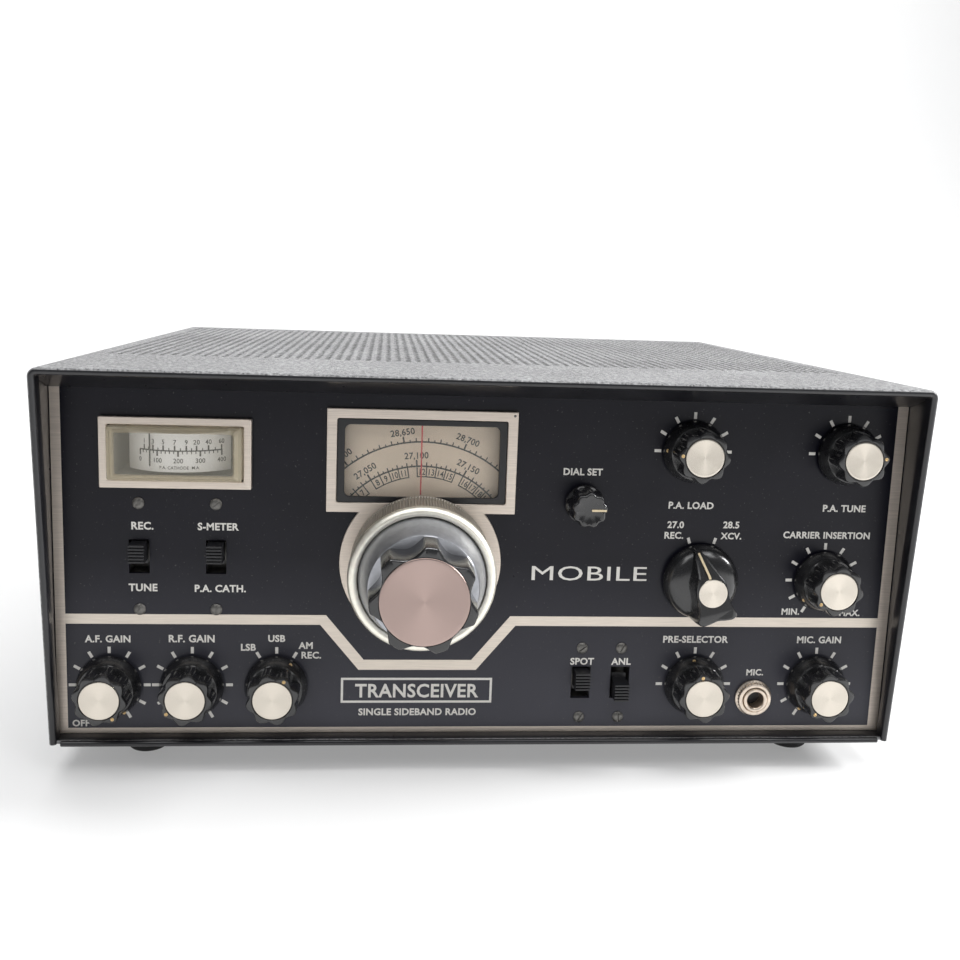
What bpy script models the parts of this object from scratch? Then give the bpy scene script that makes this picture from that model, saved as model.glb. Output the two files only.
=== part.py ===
# Mobile transceiver for amateur radio use, in metres, +Z up, front towards -Y.
import math

import bmesh
import bpy
from mathutils import Matrix, Vector

for old in list(bpy.data.objects):
    bpy.data.objects.remove(old, do_unlink=True)

MM = 0.001
GAP = 0.3

# Where the design frame sits in the world: the panel's front face is at y = 0
# and the bottom edges of the cabinet's sides are at z = 0, both in mm.
SHIFT_Y = -114.35
SHIFT_Z = 12.0

# Cabinet
CASE_W = 330.2
CASE_H = 144.5
CASE_BACK_Y = 260.9
LIP_TOP_Y = -18.5
LIP_BOTTOM_Y = -6.7
WALL = 1.3
CORNER_R = 3.5
FLANGE_LOW_Z = 135.9
PAN_DROP = 1.1
PAN_INSET = 6.0

# Front panel
PANEL_T = 2.0
PANEL_HALF_W = CASE_W / 2 - WALL - GAP
PANEL_TOP = CASE_H - WALL - GAP

# Tuning assembly
TUNE_X = -26.3
TUNE_Z = 71.2
DISC_PLATE_R = 31.0
RING_R = 27.2
RING_BORE_R = 24.4
RING_FRONT_Y = -24.0
SKIRT_R = 24.0
FINE_LOBE_R = 19.5
FINE_FLUTE_R = 16.3
FINE_FRONT_Y = -48.4
DIAL_R = 60.0

# Dial escutcheon
ESC_X = -26.6
ESC_Z = 110.7
ESC_W = 72.0
ESC_H = 39.7
ESC_T = 1.6
ESC_IN_W = 64.4
ESC_IN_H = 32.2
WINDOW_W = 58.6
WINDOW_H = 27.6

# Signal meter
METER_X = -118.0
METER_Z = 112.35
BEZEL_W = 55.5
BEZEL_H = 26.7
BEZEL_T = 2.4
METER_W = 49.0
METER_H = 20.2
METER_COVER_Y = -6.4
PIVOT_Y = 23.0
SCALE_R = 25.0
NEEDLE_R = 26.3
NEEDLE_REST_DEG = -21.5

# Panel controls: where each shaft stands
AF_X = -143.9
RF_X = -112.8
MODE_X = -80.8
LOWER_ROW_Z = 21.3
LOAD_X = 78.3
TUNE_CAP_X = 140.0
UPPER_ROW_Z = 116.6
CARRIER_X = 134.8
CARRIER_Z = 65.3
BAND_X = 84.2
BAND_Z = 65.0
PRESELECT_X = 84.7
MIC_GAIN_X = 135.0
RIGHT_ROW_Z = 21.8
DIAL_SET_X = 36.4
DIAL_SET_Z = 95.4

# Knobs
KNOB_SKIRT_R = 12.2
KNOB_LOBE_R = 9.7
KNOB_FLUTE_R = 8.2
KNOB_FRONT_Y = -15.0
BAND_SKIRT_R = 15.0
BAND_FRONT_Y = -17.5
SHAFT_R = 3.0
BORE_R = 3.3
BUSH_R = 4.7
BUSH_HOLE_R = 5.0

# Slide switches
SWITCH_OPEN_W = 7.6
SWITCH_OPEN_H = 13.2
SLIDER_W = 5.8
SLIDER_H = 7.4
SLIDER_PROUD = 5.2
SLIDER_OFFSET = 2.3

# Microphone jack
JACK_X = 109.8
JACK_Z = 16.1
JACK_HOLE_R = 3.3
JACK_BUSH_R = 4.8

# Chassis and rear
DECK_Z = 52.0
CHASSIS_FRONT_Y = 34.0
CHASSIS_HALF_W = 150.0
REAR_Y = 256.9
REAR_T = 1.5
SHEET = 1.5

collection = bpy.data.collections.new("mobile_transceiver")
bpy.context.scene.collection.children.link(collection)
cutters = bpy.data.collections.new("cutters")
bpy.context.scene.collection.children.link(cutters)


def material(name, colour, metallic, roughness):
    mat = bpy.data.materials.new(name)
    mat.use_nodes = True
    shader = mat.node_tree.nodes["Principled BSDF"]
    shader.inputs["Base Color"].default_value = (*colour, 1.0)
    shader.inputs["Metallic"].default_value = metallic
    shader.inputs["Roughness"].default_value = roughness
    return mat


def place(p):
    """A design-frame point in mm as a world point in metres."""
    return Vector((p[0] * MM, (p[1] + SHIFT_Y) * MM, (p[2] + SHIFT_Z) * MM))


def finish(bm, name, mat, origin=None, smooth=None, into=None):
    """Turn a bmesh in design-frame mm into an object."""
    bmesh.ops.recalc_face_normals(bm, faces=bm.faces)
    at = place(origin) if origin else Vector((0.0, 0.0, 0.0))
    for v in bm.verts:
        v.co = place(v.co) - at
    mesh = bpy.data.meshes.new(name)
    bm.to_mesh(mesh)
    bm.free()
    obj = bpy.data.objects.new(name, mesh)
    obj.location = at
    (into or collection).objects.link(obj)
    if mat is not None:
        mesh.materials.append(mat)
    if smooth:
        mesh.shade_smooth()
        mesh.set_sharp_from_angle(angle=math.radians(smooth))
    return obj


def add_rings(bm, rings):
    """A closed solid through rings of equal length, capped at both ends."""
    loops = [[bm.verts.new(p) for p in ring] for ring in rings]
    n = len(loops[0])
    for a, b in zip(loops, loops[1:]):
        for i in range(n):
            j = (i + 1) % n
            bm.faces.new((a[i], a[j], b[j], b[i]))
    bm.faces.new(loops[0])
    bm.faces.new(loops[-1])


def round_ring(x, y, z, r, n, axis="Y"):
    out = []
    for i in range(n):
        t = 2 * math.pi * i / n
        u, v = r * math.cos(t), r * math.sin(t)
        if axis == "Y":
            out.append((x + u, y, z + v))
        elif axis == "Z":
            out.append((x + u, y + v, z))
        else:
            out.append((x, y + u, z + v))
    return out


def add_turned(bm, x, z, profile, n):
    """A solid turned about the Y axis through (x, z); the profile is (r, y) pairs."""
    add_rings(bm, [round_ring(x, y, z, r, n) for r, y in profile])


def add_torus_like(bm, x, z, profile, n):
    """A ring about the Y axis through (x, z) whose closed section is the profile."""
    loops = [[bm.verts.new(p) for p in round_ring(x, y, z, r, n)] for r, y in profile]
    m = len(loops)
    for k in range(m):
        a, b = loops[k], loops[(k + 1) % m]
        for i in range(n):
            j = (i + 1) % n
            bm.faces.new((a[i], a[j], b[j], b[i]))


def add_box(bm, x0, x1, y0, y1, z0, z1):
    low = [(x0, y0, z0), (x1, y0, z0), (x1, y1, z0), (x0, y1, z0)]
    high = [(p[0], p[1], z1) for p in low]
    add_rings(bm, [low, high])


def add_extrusion(bm, outline, axis, low, high):
    """A prism: outline holds pairs in the plane across the axis."""
    rings = []
    for t in (low, high):
        if axis == "X":
            rings.append([(t, a, b) for a, b in outline])
        elif axis == "Y":
            rings.append([(a, t, b) for a, b in outline])
        else:
            rings.append([(a, b, t) for a, b in outline])
    add_rings(bm, rings)


def arc(cx, cz, r, start, end, n):
    out = []
    for i in range(n + 1):
        t = math.radians(start + (end - start) * i / n)
        out.append((cx + r * math.cos(t), cz + r * math.sin(t)))
    return out


def rounded_rect(cx, cz, w, h, r, n=4):
    x0, x1, z0, z1 = cx - w / 2 + r, cx + w / 2 - r, cz - h / 2 + r, cz + h / 2 - r
    out = arc(x1, z1, r, 0, 90, n)
    out += arc(x0, z1, r, 90, 180, n)
    out += arc(x0, z0, r, 180, 270, n)
    out += arc(x1, z0, r, 270, 360, n)
    return out


def cut(obj, name, build, operation="DIFFERENCE"):
    """Cut away, or join on, what build() adds to a bmesh of closed solids."""
    bm = bmesh.new()
    build(bm)
    cutter = finish(bm, name, None, into=cutters)
    cutter.hide_render = True
    cutter.display_type = "WIRE"
    mod = obj.modifiers.new(name, "BOOLEAN")
    mod.operation = operation
    mod.solver = "EXACT"
    mod.object = cutter


def lobed_radii(lobes, per_lobe, lobe_r, flute_r, start_deg):
    """Radii round a fluted outline, flat-topped lobes between hollow flutes."""
    out = []
    n = lobes * per_lobe
    for i in range(n):
        turn = (i / per_lobe) % 1.0
        off = min(turn, 1.0 - turn)
        depth = 0.0 if off < 0.2 else math.sin(math.pi * (off - 0.2) / 0.6)
        out.append((start_deg + 360.0 * i / n, lobe_r - (lobe_r - flute_r) * depth))
    return out


def outline_ring(x, y, z, radii, scale=1.0):
    out = []
    for deg, r in radii:
        t = math.radians(deg)
        out.append((x + r * scale * math.cos(t), y, z + r * scale * math.sin(t)))
    return out


# Materials
cover_paint = material("cover_paint", (0.05, 0.05, 0.055), 0.0, 0.55)
panel_paint = material("panel_paint", (0.02, 0.02, 0.025), 0.0, 0.35)
champagne = material("champagne_aluminium", (0.62, 0.55, 0.46), 0.9, 0.35)
silver = material("polished_aluminium", (0.8, 0.8, 0.78), 1.0, 0.18)
steel = material("plated_steel", (0.55, 0.55, 0.53), 1.0, 0.4)
sheet_metal = material("sheet_aluminium", (0.6, 0.6, 0.6), 1.0, 0.4)
knob_black = material("knob_black", (0.012, 0.012, 0.013), 0.0, 0.2)
rubber = material("foot_rubber", (0.02, 0.02, 0.02), 0.0, 0.8)
clear = material("clear_plastic", (0.85, 0.82, 0.72), 0.0, 0.1)
cream = material("dial_cream", (0.62, 0.54, 0.42), 0.0, 0.6)
white_card = material("scale_white", (0.75, 0.75, 0.73), 0.0, 0.6)
needle_black = material("needle_black", (0.03, 0.03, 0.03), 0.0, 0.5)
bakelite = material("bakelite_black", (0.03, 0.028, 0.026), 0.0, 0.45)
brass = material("brass", (0.6, 0.42, 0.18), 1.0, 0.35)
core_steel = material("core_steel", (0.09, 0.09, 0.1), 0.6, 0.5)
tube_glass = material("tube_glass", (0.6, 0.62, 0.6), 0.0, 0.08)
board_green = material("board_green", (0.05, 0.14, 0.06), 0.0, 0.5)
paper_cone = material("paper_cone", (0.05, 0.045, 0.04), 0.0, 0.9)

half = CASE_W / 2
PANEL_LOW = WALL + GAP
PANEL_MID = (PANEL_LOW + PANEL_TOP) / 2
PANEL_OUTLINE = rounded_rect(0.0, PANEL_MID, 2 * PANEL_HALF_W, PANEL_TOP - PANEL_LOW, 2.2)

# Cabinet cover: one bent sheet, its front edge raked forward at the top
outer = [(-half, 0.0)]
outer += [(x, z) for x, z in arc(-half + CORNER_R, CASE_H - CORNER_R, CORNER_R, 180, 90, 5)]
outer += [(x, z) for x, z in arc(half - CORNER_R, CASE_H - CORNER_R, CORNER_R, 90, 0, 5)]
outer += [(half, 0.0), (half - WALL, 0.0)]
inner_r = CORNER_R - WALL
outer += [(x, z) for x, z in arc(half - CORNER_R, CASE_H - CORNER_R, inner_r, 0, 90, 5)]
outer += [(x, z) for x, z in arc(-half + CORNER_R, CASE_H - CORNER_R, inner_r, 90, 180, 5)]
outer += [(-half + WALL, 0.0)]
rake = (LIP_TOP_Y - LIP_BOTTOM_Y) / CASE_H
bm = bmesh.new()
front_ring = [(x, LIP_BOTTOM_Y + rake * z, z) for x, z in outer]
back_ring = [(x, CASE_BACK_Y, z) for x, z in outer]
add_rings(bm, [front_ring, back_ring])
cover = finish(bm, "cabinet_cover", cover_paint, smooth=30)


def return_flange(bm):
    """The top sheet's front edge, folded back down to the panel."""
    top = CASE_H - WALL / 2
    lip_y = LIP_BOTTOM_Y + rake * (CASE_H - WALL)
    fold = [(lip_y + 0.4, top), (lip_y + 0.4, CASE_H - WALL - 1.2), (-0.6, FLANGE_LOW_Z)]
    fold += [(-0.6, FLANGE_LOW_Z + WALL), (lip_y + 4.4, top)]
    reach = half - WALL / 2
    add_extrusion(bm, fold, "X", -reach, reach)


cut(cover, "return_flange", return_flange, "UNION")

# Bottom pan between the side walls, with a shallow pressed-down field
pan_half = half - WALL - GAP
pan = [(-pan_half, WALL), (-pan_half, 0.0), (-pan_half + PAN_INSET, 0.0)]
pan += [(-pan_half + PAN_INSET, -PAN_DROP), (pan_half - PAN_INSET, -PAN_DROP)]
pan += [(pan_half - PAN_INSET, 0.0), (pan_half, 0.0), (pan_half, WALL)]
bm = bmesh.new()
add_extrusion(bm, pan, "Y", LIP_BOTTOM_Y, CASE_BACK_Y)
finish(bm, "bottom_pan", cover_paint)

# Rubber feet
FOOT_X = 134.0
FOOT_FRONT_Y = 19.5
FOOT_REAR_Y = 236.0
for name, fx, fy in (
    ("foot_front_left", -FOOT_X, FOOT_FRONT_Y),
    ("foot_front_right", FOOT_X, FOOT_FRONT_Y),
    ("foot_rear_left", -FOOT_X, FOOT_REAR_Y),
    ("foot_rear_right", FOOT_X, FOOT_REAR_Y),
):
    bm = bmesh.new()
    foot = ((7.4, -SHIFT_Z), (8.4, -SHIFT_Z + 0.8), (9.2, -4.0), (9.2, -PAN_DROP - GAP))
    add_rings(bm, [round_ring(fx, fy, z, r, 24, "Z") for r, z in foot])
    finish(bm, name, rubber, smooth=40)

# Front panel with every opening cut through
bm = bmesh.new()
add_extrusion(bm, PANEL_OUTLINE, "Y", 0.0, PANEL_T)
panel = finish(bm, "front_panel", panel_paint)

CONTROLS = {
    "af_gain": (AF_X, LOWER_ROW_Z),
    "rf_gain": (RF_X, LOWER_ROW_Z),
    "mode": (MODE_X, LOWER_ROW_Z),
    "pa_load": (LOAD_X, UPPER_ROW_Z),
    "pa_tune": (TUNE_CAP_X, UPPER_ROW_Z),
    "carrier": (CARRIER_X, CARRIER_Z),
    "band": (BAND_X, BAND_Z),
    "preselector": (PRESELECT_X, RIGHT_ROW_Z),
    "mic_gain": (MIC_GAIN_X, RIGHT_ROW_Z),
    "dial_set": (DIAL_SET_X, DIAL_SET_Z),
}
SWITCHES = {
    "receive_tune": (-132.2, 72.2, 1),
    "meter_select": (-103.7, 72.2, 1),
    "spot": (38.8, 22.3, 1),
    "noise_limiter": (54.6, 22.3, -1),
}


def panel_openings(bm):
    for x, z in CONTROLS.values():
        add_turned(bm, x, z, ((BUSH_HOLE_R, -1.0), (BUSH_HOLE_R, PANEL_T + 1.0)), 20)
    for x, z, _ in SWITCHES.values():
        w, h = SWITCH_OPEN_W / 2, SWITCH_OPEN_H / 2
        add_box(bm, x - w, x + w, -1.0, PANEL_T + 1.0, z - h, z + h)
    add_turned(bm, TUNE_X, TUNE_Z, ((6.0, -1.0), (6.0, PANEL_T + 1.0)), 24)
    hole = rounded_rect(ESC_X, ESC_Z, WINDOW_W + 2.2, WINDOW_H + 2.2, 2.0)
    add_extrusion(bm, hole, "Y", -1.0, PANEL_T + 1.0)
    w, h = METER_W / 2 - 0.8, METER_H / 2 - 0.8
    add_box(bm, METER_X - w, METER_X + w, -1.0, PANEL_T + 1.0, METER_Z - h, METER_Z + h)
    add_turned(bm, JACK_X, JACK_Z, ((5.1, -1.0), (5.1, PANEL_T + 1.0)), 20)


cut(panel, "panel_cuts", panel_openings)

# Keyhole-shaped dial escutcheon: a frame joined to a round plate behind the knob
bm = bmesh.new()
low = ESC_Z - ESC_H / 2
chord = math.degrees(math.asin((low - TUNE_Z) / DISC_PLATE_R))
key = arc(TUNE_X, TUNE_Z, DISC_PLATE_R, 180 - chord, 360 + chord, 40)
key += [(ESC_X + ESC_W / 2, low), (ESC_X + ESC_W / 2, low + ESC_H)]
key += [(ESC_X - ESC_W / 2, low + ESC_H), (ESC_X - ESC_W / 2, low)]
add_extrusion(bm, key, "Y", -GAP - ESC_T, -GAP)
escutcheon = finish(bm, "dial_escutcheon", champagne)


def escutcheon_openings(bm):
    w, h = ESC_IN_W / 2, ESC_IN_H / 2
    add_box(bm, ESC_X - w, ESC_X + w, -6.0, 2.0, ESC_Z - h, ESC_Z + h)
    add_turned(bm, TUNE_X, TUNE_Z, ((7.0, -6.0), (7.0, 2.0)), 24)


cut(escutcheon, "escutcheon_cuts", escutcheon_openings)

# Black inner frame round the dial window
bm = bmesh.new()
w, h = ESC_IN_W / 2 - GAP, ESC_IN_H / 2 - GAP
add_box(bm, ESC_X - w, ESC_X + w, -1.5, -GAP, ESC_Z - h, ESC_Z + h)
frame = finish(bm, "dial_inner_frame", bakelite)


def frame_opening(bm):
    hole = rounded_rect(ESC_X, ESC_Z, WINDOW_W, WINDOW_H, 2.2)
    add_extrusion(bm, hole, "Y", -3.0, 2.0)


cut(frame, "frame_cut", frame_opening)

# Clear dial window in the panel opening
bm = bmesh.new()
pane = rounded_rect(ESC_X, ESC_Z, WINDOW_W + 1.6, WINDOW_H + 1.6, 1.7)
add_extrusion(bm, pane, "Y", 0.1, 1.6)
finish(bm, "dial_window", clear)

# Dial disc turned by the fast tuning ring
bm = bmesh.new()
disc = ((3.4, 5.0), (DIAL_R, 5.0), (DIAL_R, 6.2), (8.0, 6.2), (8.0, 9.5), (3.4, 9.5))
add_torus_like(bm, TUNE_X, TUNE_Z, disc, 48)
finish(bm, "dial_disc", cream, origin=(TUNE_X, 5.0, TUNE_Z), smooth=40)

# Fast tuning ring: knurled drum with a polished rim, on a hollow shaft
bm = bmesh.new()
ring = ((3.4, 4.6), (5.2, 4.6), (5.2, -3.2), (RING_R - 0.4, -3.2), (RING_R - 0.4, -21.6))
ring += ((RING_R, -22.4), (RING_R - 0.5, RING_FRONT_Y + 0.3), (RING_R - 1.4, RING_FRONT_Y))
ring += ((RING_BORE_R + 0.3, RING_FRONT_Y + 0.4), (RING_BORE_R, -22.4), (RING_BORE_R, -9.0), (3.4, -9.0))
add_torus_like(bm, TUNE_X, TUNE_Z, ring, 56)
finish(bm, "fast_tuning_ring", silver, origin=(TUNE_X, 0.0, TUNE_Z), smooth=35)

# Fine tuning knob: coned skirt, seven-lobed grip, long shaft into the oscillator
PER_LOBE = 8
LOBES = 7
fluted = lobed_radii(LOBES, PER_LOBE, FINE_LOBE_R, FINE_FLUTE_R, 84.0)
n = LOBES * PER_LOBE
plain = [(deg, 1.0) for deg, _ in fluted]
bm = bmesh.new()
rings = [outline_ring(TUNE_X, y, TUNE_Z, plain, r) for r, y in (
    (SHAFT_R, 30.0), (SHAFT_R, -9.6), (23.4, -9.6), (SKIRT_R, -10.2),
    (SKIRT_R, -21.6), (23.4, -23.4), (20.6, -33.4), (20.0, -34.4),
)]
rings.append(outline_ring(TUNE_X, -35.0, TUNE_Z, fluted))
rings.append(outline_ring(TUNE_X, FINE_FRONT_Y + 1.0, TUNE_Z, fluted))
rings.append(outline_ring(TUNE_X, FINE_FRONT_Y, TUNE_Z, fluted, 0.965))
add_rings(bm, rings)
finish(bm, "fine_tuning_knob", knob_black, origin=(TUNE_X, 0.0, TUNE_Z), smooth=30)

# Oscillator box behind the dial, bored for the tuning shaft
bm = bmesh.new()
add_box(bm, -66.0, 14.0, 12.0, 76.0, DECK_Z + SHEET + GAP, 136.0)
vfo = finish(bm, "oscillator_box", sheet_metal)


def vfo_bore(bm):
    add_turned(bm, TUNE_X, TUNE_Z, ((BORE_R, 5.0), (BORE_R, 32.0)), 24)


cut(vfo, "vfo_cut", vfo_bore)

# Signal meter
bm = bmesh.new()
w, h = BEZEL_W / 2, BEZEL_H / 2
add_box(bm, METER_X - w, METER_X + w, -GAP - BEZEL_T, -GAP, METER_Z - h, METER_Z + h)
bezel = finish(bm, "meter_bezel", champagne)


def bezel_opening(bm):
    w, h = METER_W / 2 + GAP, METER_H / 2 + GAP
    add_box(bm, METER_X - w, METER_X + w, -6.0, 2.0, METER_Z - h, METER_Z + h)


cut(bezel, "bezel_cut", bezel_opening)

bm = bmesh.new()
w, h = METER_W / 2, METER_H / 2
shape = ((w, h, -GAP), (w, h, -4.6), (w - 2.4, h - 1.6, METER_COVER_Y))
add_rings(bm, [
    [(METER_X - a, y, METER_Z - b), (METER_X + a, y, METER_Z - b),
     (METER_X + a, y, METER_Z + b), (METER_X - a, y, METER_Z + b)]
    for a, b, y in shape
])
cover = finish(bm, "meter_cover", clear)


def cover_hollow(bm):
    w, h = METER_W / 2 - 1.2, METER_H / 2 - 0.9
    y = METER_COVER_Y + 1.3
    add_rings(bm, [
        [(METER_X - a, t, METER_Z - b), (METER_X + a, t, METER_Z - b),
         (METER_X + a, t, METER_Z + b), (METER_X - a, t, METER_Z + b)]
        for a, b, t in ((w, h, 2.0), (w, h, -3.9), (w - 1.6, h - 0.6, y))
    ])


cut(cover, "cover_cut", cover_hollow)

bm = bmesh.new()
add_box(bm, METER_X - w, METER_X + w, PANEL_T + GAP, 38.0, METER_Z - h, METER_Z + h)
case = finish(bm, "meter_case", bakelite)


def case_hollow(bm):
    a, b = METER_W / 2 - 1.0, METER_H / 2 - 1.0
    add_box(bm, METER_X - a, METER_X + a, 0.0, 36.5, METER_Z - b, METER_Z + b)


cut(case, "case_cut", case_hollow)

bm = bmesh.new()
swing = 49.0
curve = [(METER_X + x, PIVOT_Y - z) for x, z in arc(0, 0, SCALE_R, 90 + swing, 90 - swing, 18)]
curve += [(METER_X + x, PIVOT_Y - z) for x, z in arc(0, 0, SCALE_R - 0.6, 90 - swing, 90 + swing, 18)]
add_extrusion(bm, curve, "Z", METER_Z - 7.3, METER_Z + 7.3)
finish(bm, "meter_scale", white_card, smooth=30)

# Needle: an arm over the scale from a pivot pin, turned down in front of it
bm = bmesh.new()
side = [(-1.0, -8.6), (1.0, -8.6), (1.0, 8.6), (-NEEDLE_R - 0.25, 8.6), (-NEEDLE_R - 0.25, -5.2)]
side += [(-NEEDLE_R + 0.25, -5.2), (-NEEDLE_R + 0.25, 8.0), (-1.0, 8.0)]
add_extrusion(bm, side, "X", -0.3, 0.3)
turn = Matrix.Rotation(math.radians(NEEDLE_REST_DEG), 3, "Z")
for v in bm.verts:
    v.co = turn @ v.co + Vector((METER_X, PIVOT_Y, METER_Z))
finish(bm, "meter_needle", needle_black, origin=(METER_X, PIVOT_Y, METER_Z))

# Rotary controls behind the panel, each with a threaded bush and a blind bore
BODIES = {
    "af_gain": ("af_gain_control", 12.0, 17.0, "round"),
    "rf_gain": ("rf_gain_control", 12.0, 17.0, "round"),
    "mode": ("mode_switch", 11.8, 30.0, "round"),
    "pa_load": ("load_capacitor", 17.0, 44.0, "square"),
    "pa_tune": ("tune_capacitor", 17.0, 44.0, "square"),
    "carrier": ("carrier_control", 12.0, 17.0, "round"),
    "band": ("band_switch", 15.0, 31.0, "round"),
    "preselector": ("preselector_capacitor", 14.0, 31.0, "square"),
    "mic_gain": ("mic_gain_control", 12.0, 17.0, "round"),
    "dial_set": ("dial_set_control", 6.5, 14.0, "round"),
}
back_y = PANEL_T + GAP
for key_name, (node, r, depth, form) in BODIES.items():
    x, z = CONTROLS[key_name]
    bm = bmesh.new()
    profile = [(r, depth), (r, back_y), (BUSH_R, back_y), (BUSH_R, -0.6)]
    if form == "round":
        add_turned(bm, x, z, profile, 24)
        mat = steel
    else:
        square = [(x - r, z - r), (x + r, z - r), (x + r, z + r), (x - r, z + r)]
        add_extrusion(bm, square, "Y", back_y, depth)
        mat = sheet_metal
    body = finish(bm, node, mat, smooth=40)

    def bore(bm, x=x, z=z):
        add_turned(bm, x, z, ((BORE_R, -4.0), (BORE_R, 11.2)), 20)

    cut(body, node + "_cut", bore)

# Fluted skirted knobs with their shafts
KNOB_TURN = {
    "af_gain": -56.0,
    "rf_gain": 217.0,
    "mode": 60.0,
    "pa_load": 176.0,
    "pa_tune": 6.0,
    "carrier": 217.0,
    "preselector": 98.0,
    "mic_gain": 230.0,
}
for key_name, turn_deg in KNOB_TURN.items():
    x, z = CONTROLS[key_name]
    fluted = lobed_radii(8, 4, KNOB_LOBE_R, KNOB_FLUTE_R, turn_deg)
    plain = [(deg, 1.0) for deg, _ in fluted]
    bm = bmesh.new()
    rings = [outline_ring(x, y, z, plain, r) for r, y in (
        (SHAFT_R, 10.8), (SHAFT_R, -1.0), (KNOB_SKIRT_R - 0.5, -1.0),
        (KNOB_SKIRT_R, -1.5), (KNOB_SKIRT_R - 0.8, -3.4), (10.2, -7.0),
    )]
    rings.append(outline_ring(x, -8.2, z, fluted))
    rings.append(outline_ring(x, KNOB_FRONT_Y + 0.7, z, fluted))
    rings.append(outline_ring(x, KNOB_FRONT_Y, z, fluted, 0.95))
    add_rings(bm, rings)
    finish(bm, key_name + "_knob", knob_black, origin=(x, 0.0, z), smooth=30)

# Band knob: round skirt with a bar grip that flares into a tail
bm = bmesh.new()
BAND_TURN = 105.0
grip = []
for deg in range(0, 360, 9):
    t = math.radians(deg)
    nose = 12.5 * max(0.0, math.cos(t)) ** 2.4
    tail = 14.6 * max(0.0, -math.cos(t)) ** 1.1
    waist = 6.6
    grip.append((deg + BAND_TURN, max(waist, nose, tail)))
plain = [(deg, 1.0) for deg, _ in grip]
rings = [outline_ring(BAND_X, y, BAND_Z, plain, r) for r, y in (
    (SHAFT_R, 10.8), (SHAFT_R, -1.0), (BAND_SKIRT_R - 0.6, -1.0), (BAND_SKIRT_R, -1.6),
    (BAND_SKIRT_R - 0.5, -5.0),
)]
rings.append(outline_ring(BAND_X, -6.6, BAND_Z, grip, 0.97))
rings.append(outline_ring(BAND_X, -13.5, BAND_Z, [(d, min(r, 12.6)) for d, r in grip], 0.95))
rings.append(outline_ring(BAND_X, BAND_FRONT_Y, BAND_Z, [(d, min(r, 7.4)) for d, r in grip], 0.9))
add_rings(bm, rings)
finish(bm, "band_knob", knob_black, origin=(BAND_X, 0.0, BAND_Z), smooth=30)

# Small plain fluted knob for the dial setting control
fluted = lobed_radii(8, 4, 7.2, 6.3, 0.0)
plain = [(deg, 1.0) for deg, _ in fluted]
bm = bmesh.new()
rings = [outline_ring(DIAL_SET_X, y, DIAL_SET_Z, plain, r) for r, y in (
    (SHAFT_R, 10.8), (SHAFT_R, -1.0), (7.6, -1.0), (7.6, -3.0),
)]
rings.append(outline_ring(DIAL_SET_X, -4.0, DIAL_SET_Z, fluted))
rings.append(outline_ring(DIAL_SET_X, -12.2, DIAL_SET_Z, fluted, 0.93))
rings.append(outline_ring(DIAL_SET_X, -13.0, DIAL_SET_Z, fluted, 0.85))
add_rings(bm, rings)
finish(bm, "dial_set_knob", knob_black, origin=(DIAL_SET_X, 0.0, DIAL_SET_Z), smooth=30)

# Slide switches: body behind the panel and slider through the opening
for key_name, (x, z, up) in SWITCHES.items():
    bm = bmesh.new()
    add_box(bm, x - 7.0, x + 7.0, back_y, 13.0, z - 14.0, z + 14.0)
    body = finish(bm, key_name + "_switch", steel)

    def slot(bm, x=x, z=z):
        w, h = SWITCH_OPEN_W / 2, SWITCH_OPEN_H / 2
        add_box(bm, x - w, x + w, 0.0, 9.0, z - h, z + h)

    cut(body, key_name + "_slot", slot)
    zs = z + up * SLIDER_OFFSET
    bm = bmesh.new()
    w, h = SLIDER_W / 2, SLIDER_H / 2
    side = [(8.6, zs - h), (8.6, zs + h)]
    ribs = 6
    pitch = SLIDER_H / ribs
    for k in range(ribs):
        top = zs + h - k * pitch
        side += [(-SLIDER_PROUD, top), (-SLIDER_PROUD, top - pitch * 0.6)]
        if k < ribs - 1:
            side += [(-SLIDER_PROUD + 0.8, top - pitch * 0.6), (-SLIDER_PROUD + 0.8, top - pitch)]
    side += [(-SLIDER_PROUD + 0.8, zs - h + pitch * 0.4), (-SLIDER_PROUD + 0.8, zs - h)]
    add_extrusion(bm, side, "X", x - w, x + w)
    finish(bm, key_name + "_slider", knob_black, origin=(x, 0.0, zs))

# Quarter-inch microphone jack and its nut
bm = bmesh.new()
jack = ((JACK_HOLE_R, -3.6), (JACK_BUSH_R, -3.6), (JACK_BUSH_R, back_y), (8.0, back_y))
jack += ((8.0, 33.0), (4.0, 33.0), (4.0, 30.5), (JACK_HOLE_R, 30.5))
add_torus_like(bm, JACK_X, JACK_Z, jack, 24)
finish(bm, "mic_jack", steel, smooth=40)
bm = bmesh.new()
nut = ((5.1, -GAP), (7.4, -GAP), (7.4, -1.1), (6.8, -1.1), (6.8, -2.9), (5.1, -2.9))
add_torus_like(bm, JACK_X, JACK_Z, nut, 24)
finish(bm, "mic_jack_nut", steel, smooth=40)

# Chassis: a folded deck with front and rear aprons
bm = bmesh.new()
front, rear = CHASSIS_FRONT_Y, REAR_Y - GAP
fold = [(front, 2.5), (front, DECK_Z + SHEET), (rear, DECK_Z + SHEET), (rear, 2.5)]
fold += [(rear - SHEET, 2.5), (rear - SHEET, DECK_Z), (front + SHEET, DECK_Z), (front + SHEET, 2.5)]
add_extrusion(bm, fold, "X", -CHASSIS_HALF_W, CHASSIS_HALF_W)
chassis = finish(bm, "chassis", sheet_metal)

# Rear panel with its connector openings
COAX_X = 118.0
COAX_Z = 30.0
GLAND_X = -122.0
GLAND_Z = 26.0
FUSE_X = -92.0
FUSE_Z = 28.0
STUD_X = 86.0
STUD_Z = 24.0
bm = bmesh.new()
add_extrusion(bm, PANEL_OUTLINE, "Y", REAR_Y, REAR_Y + REAR_T)
rear_panel = finish(bm, "rear_panel", panel_paint)


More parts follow.
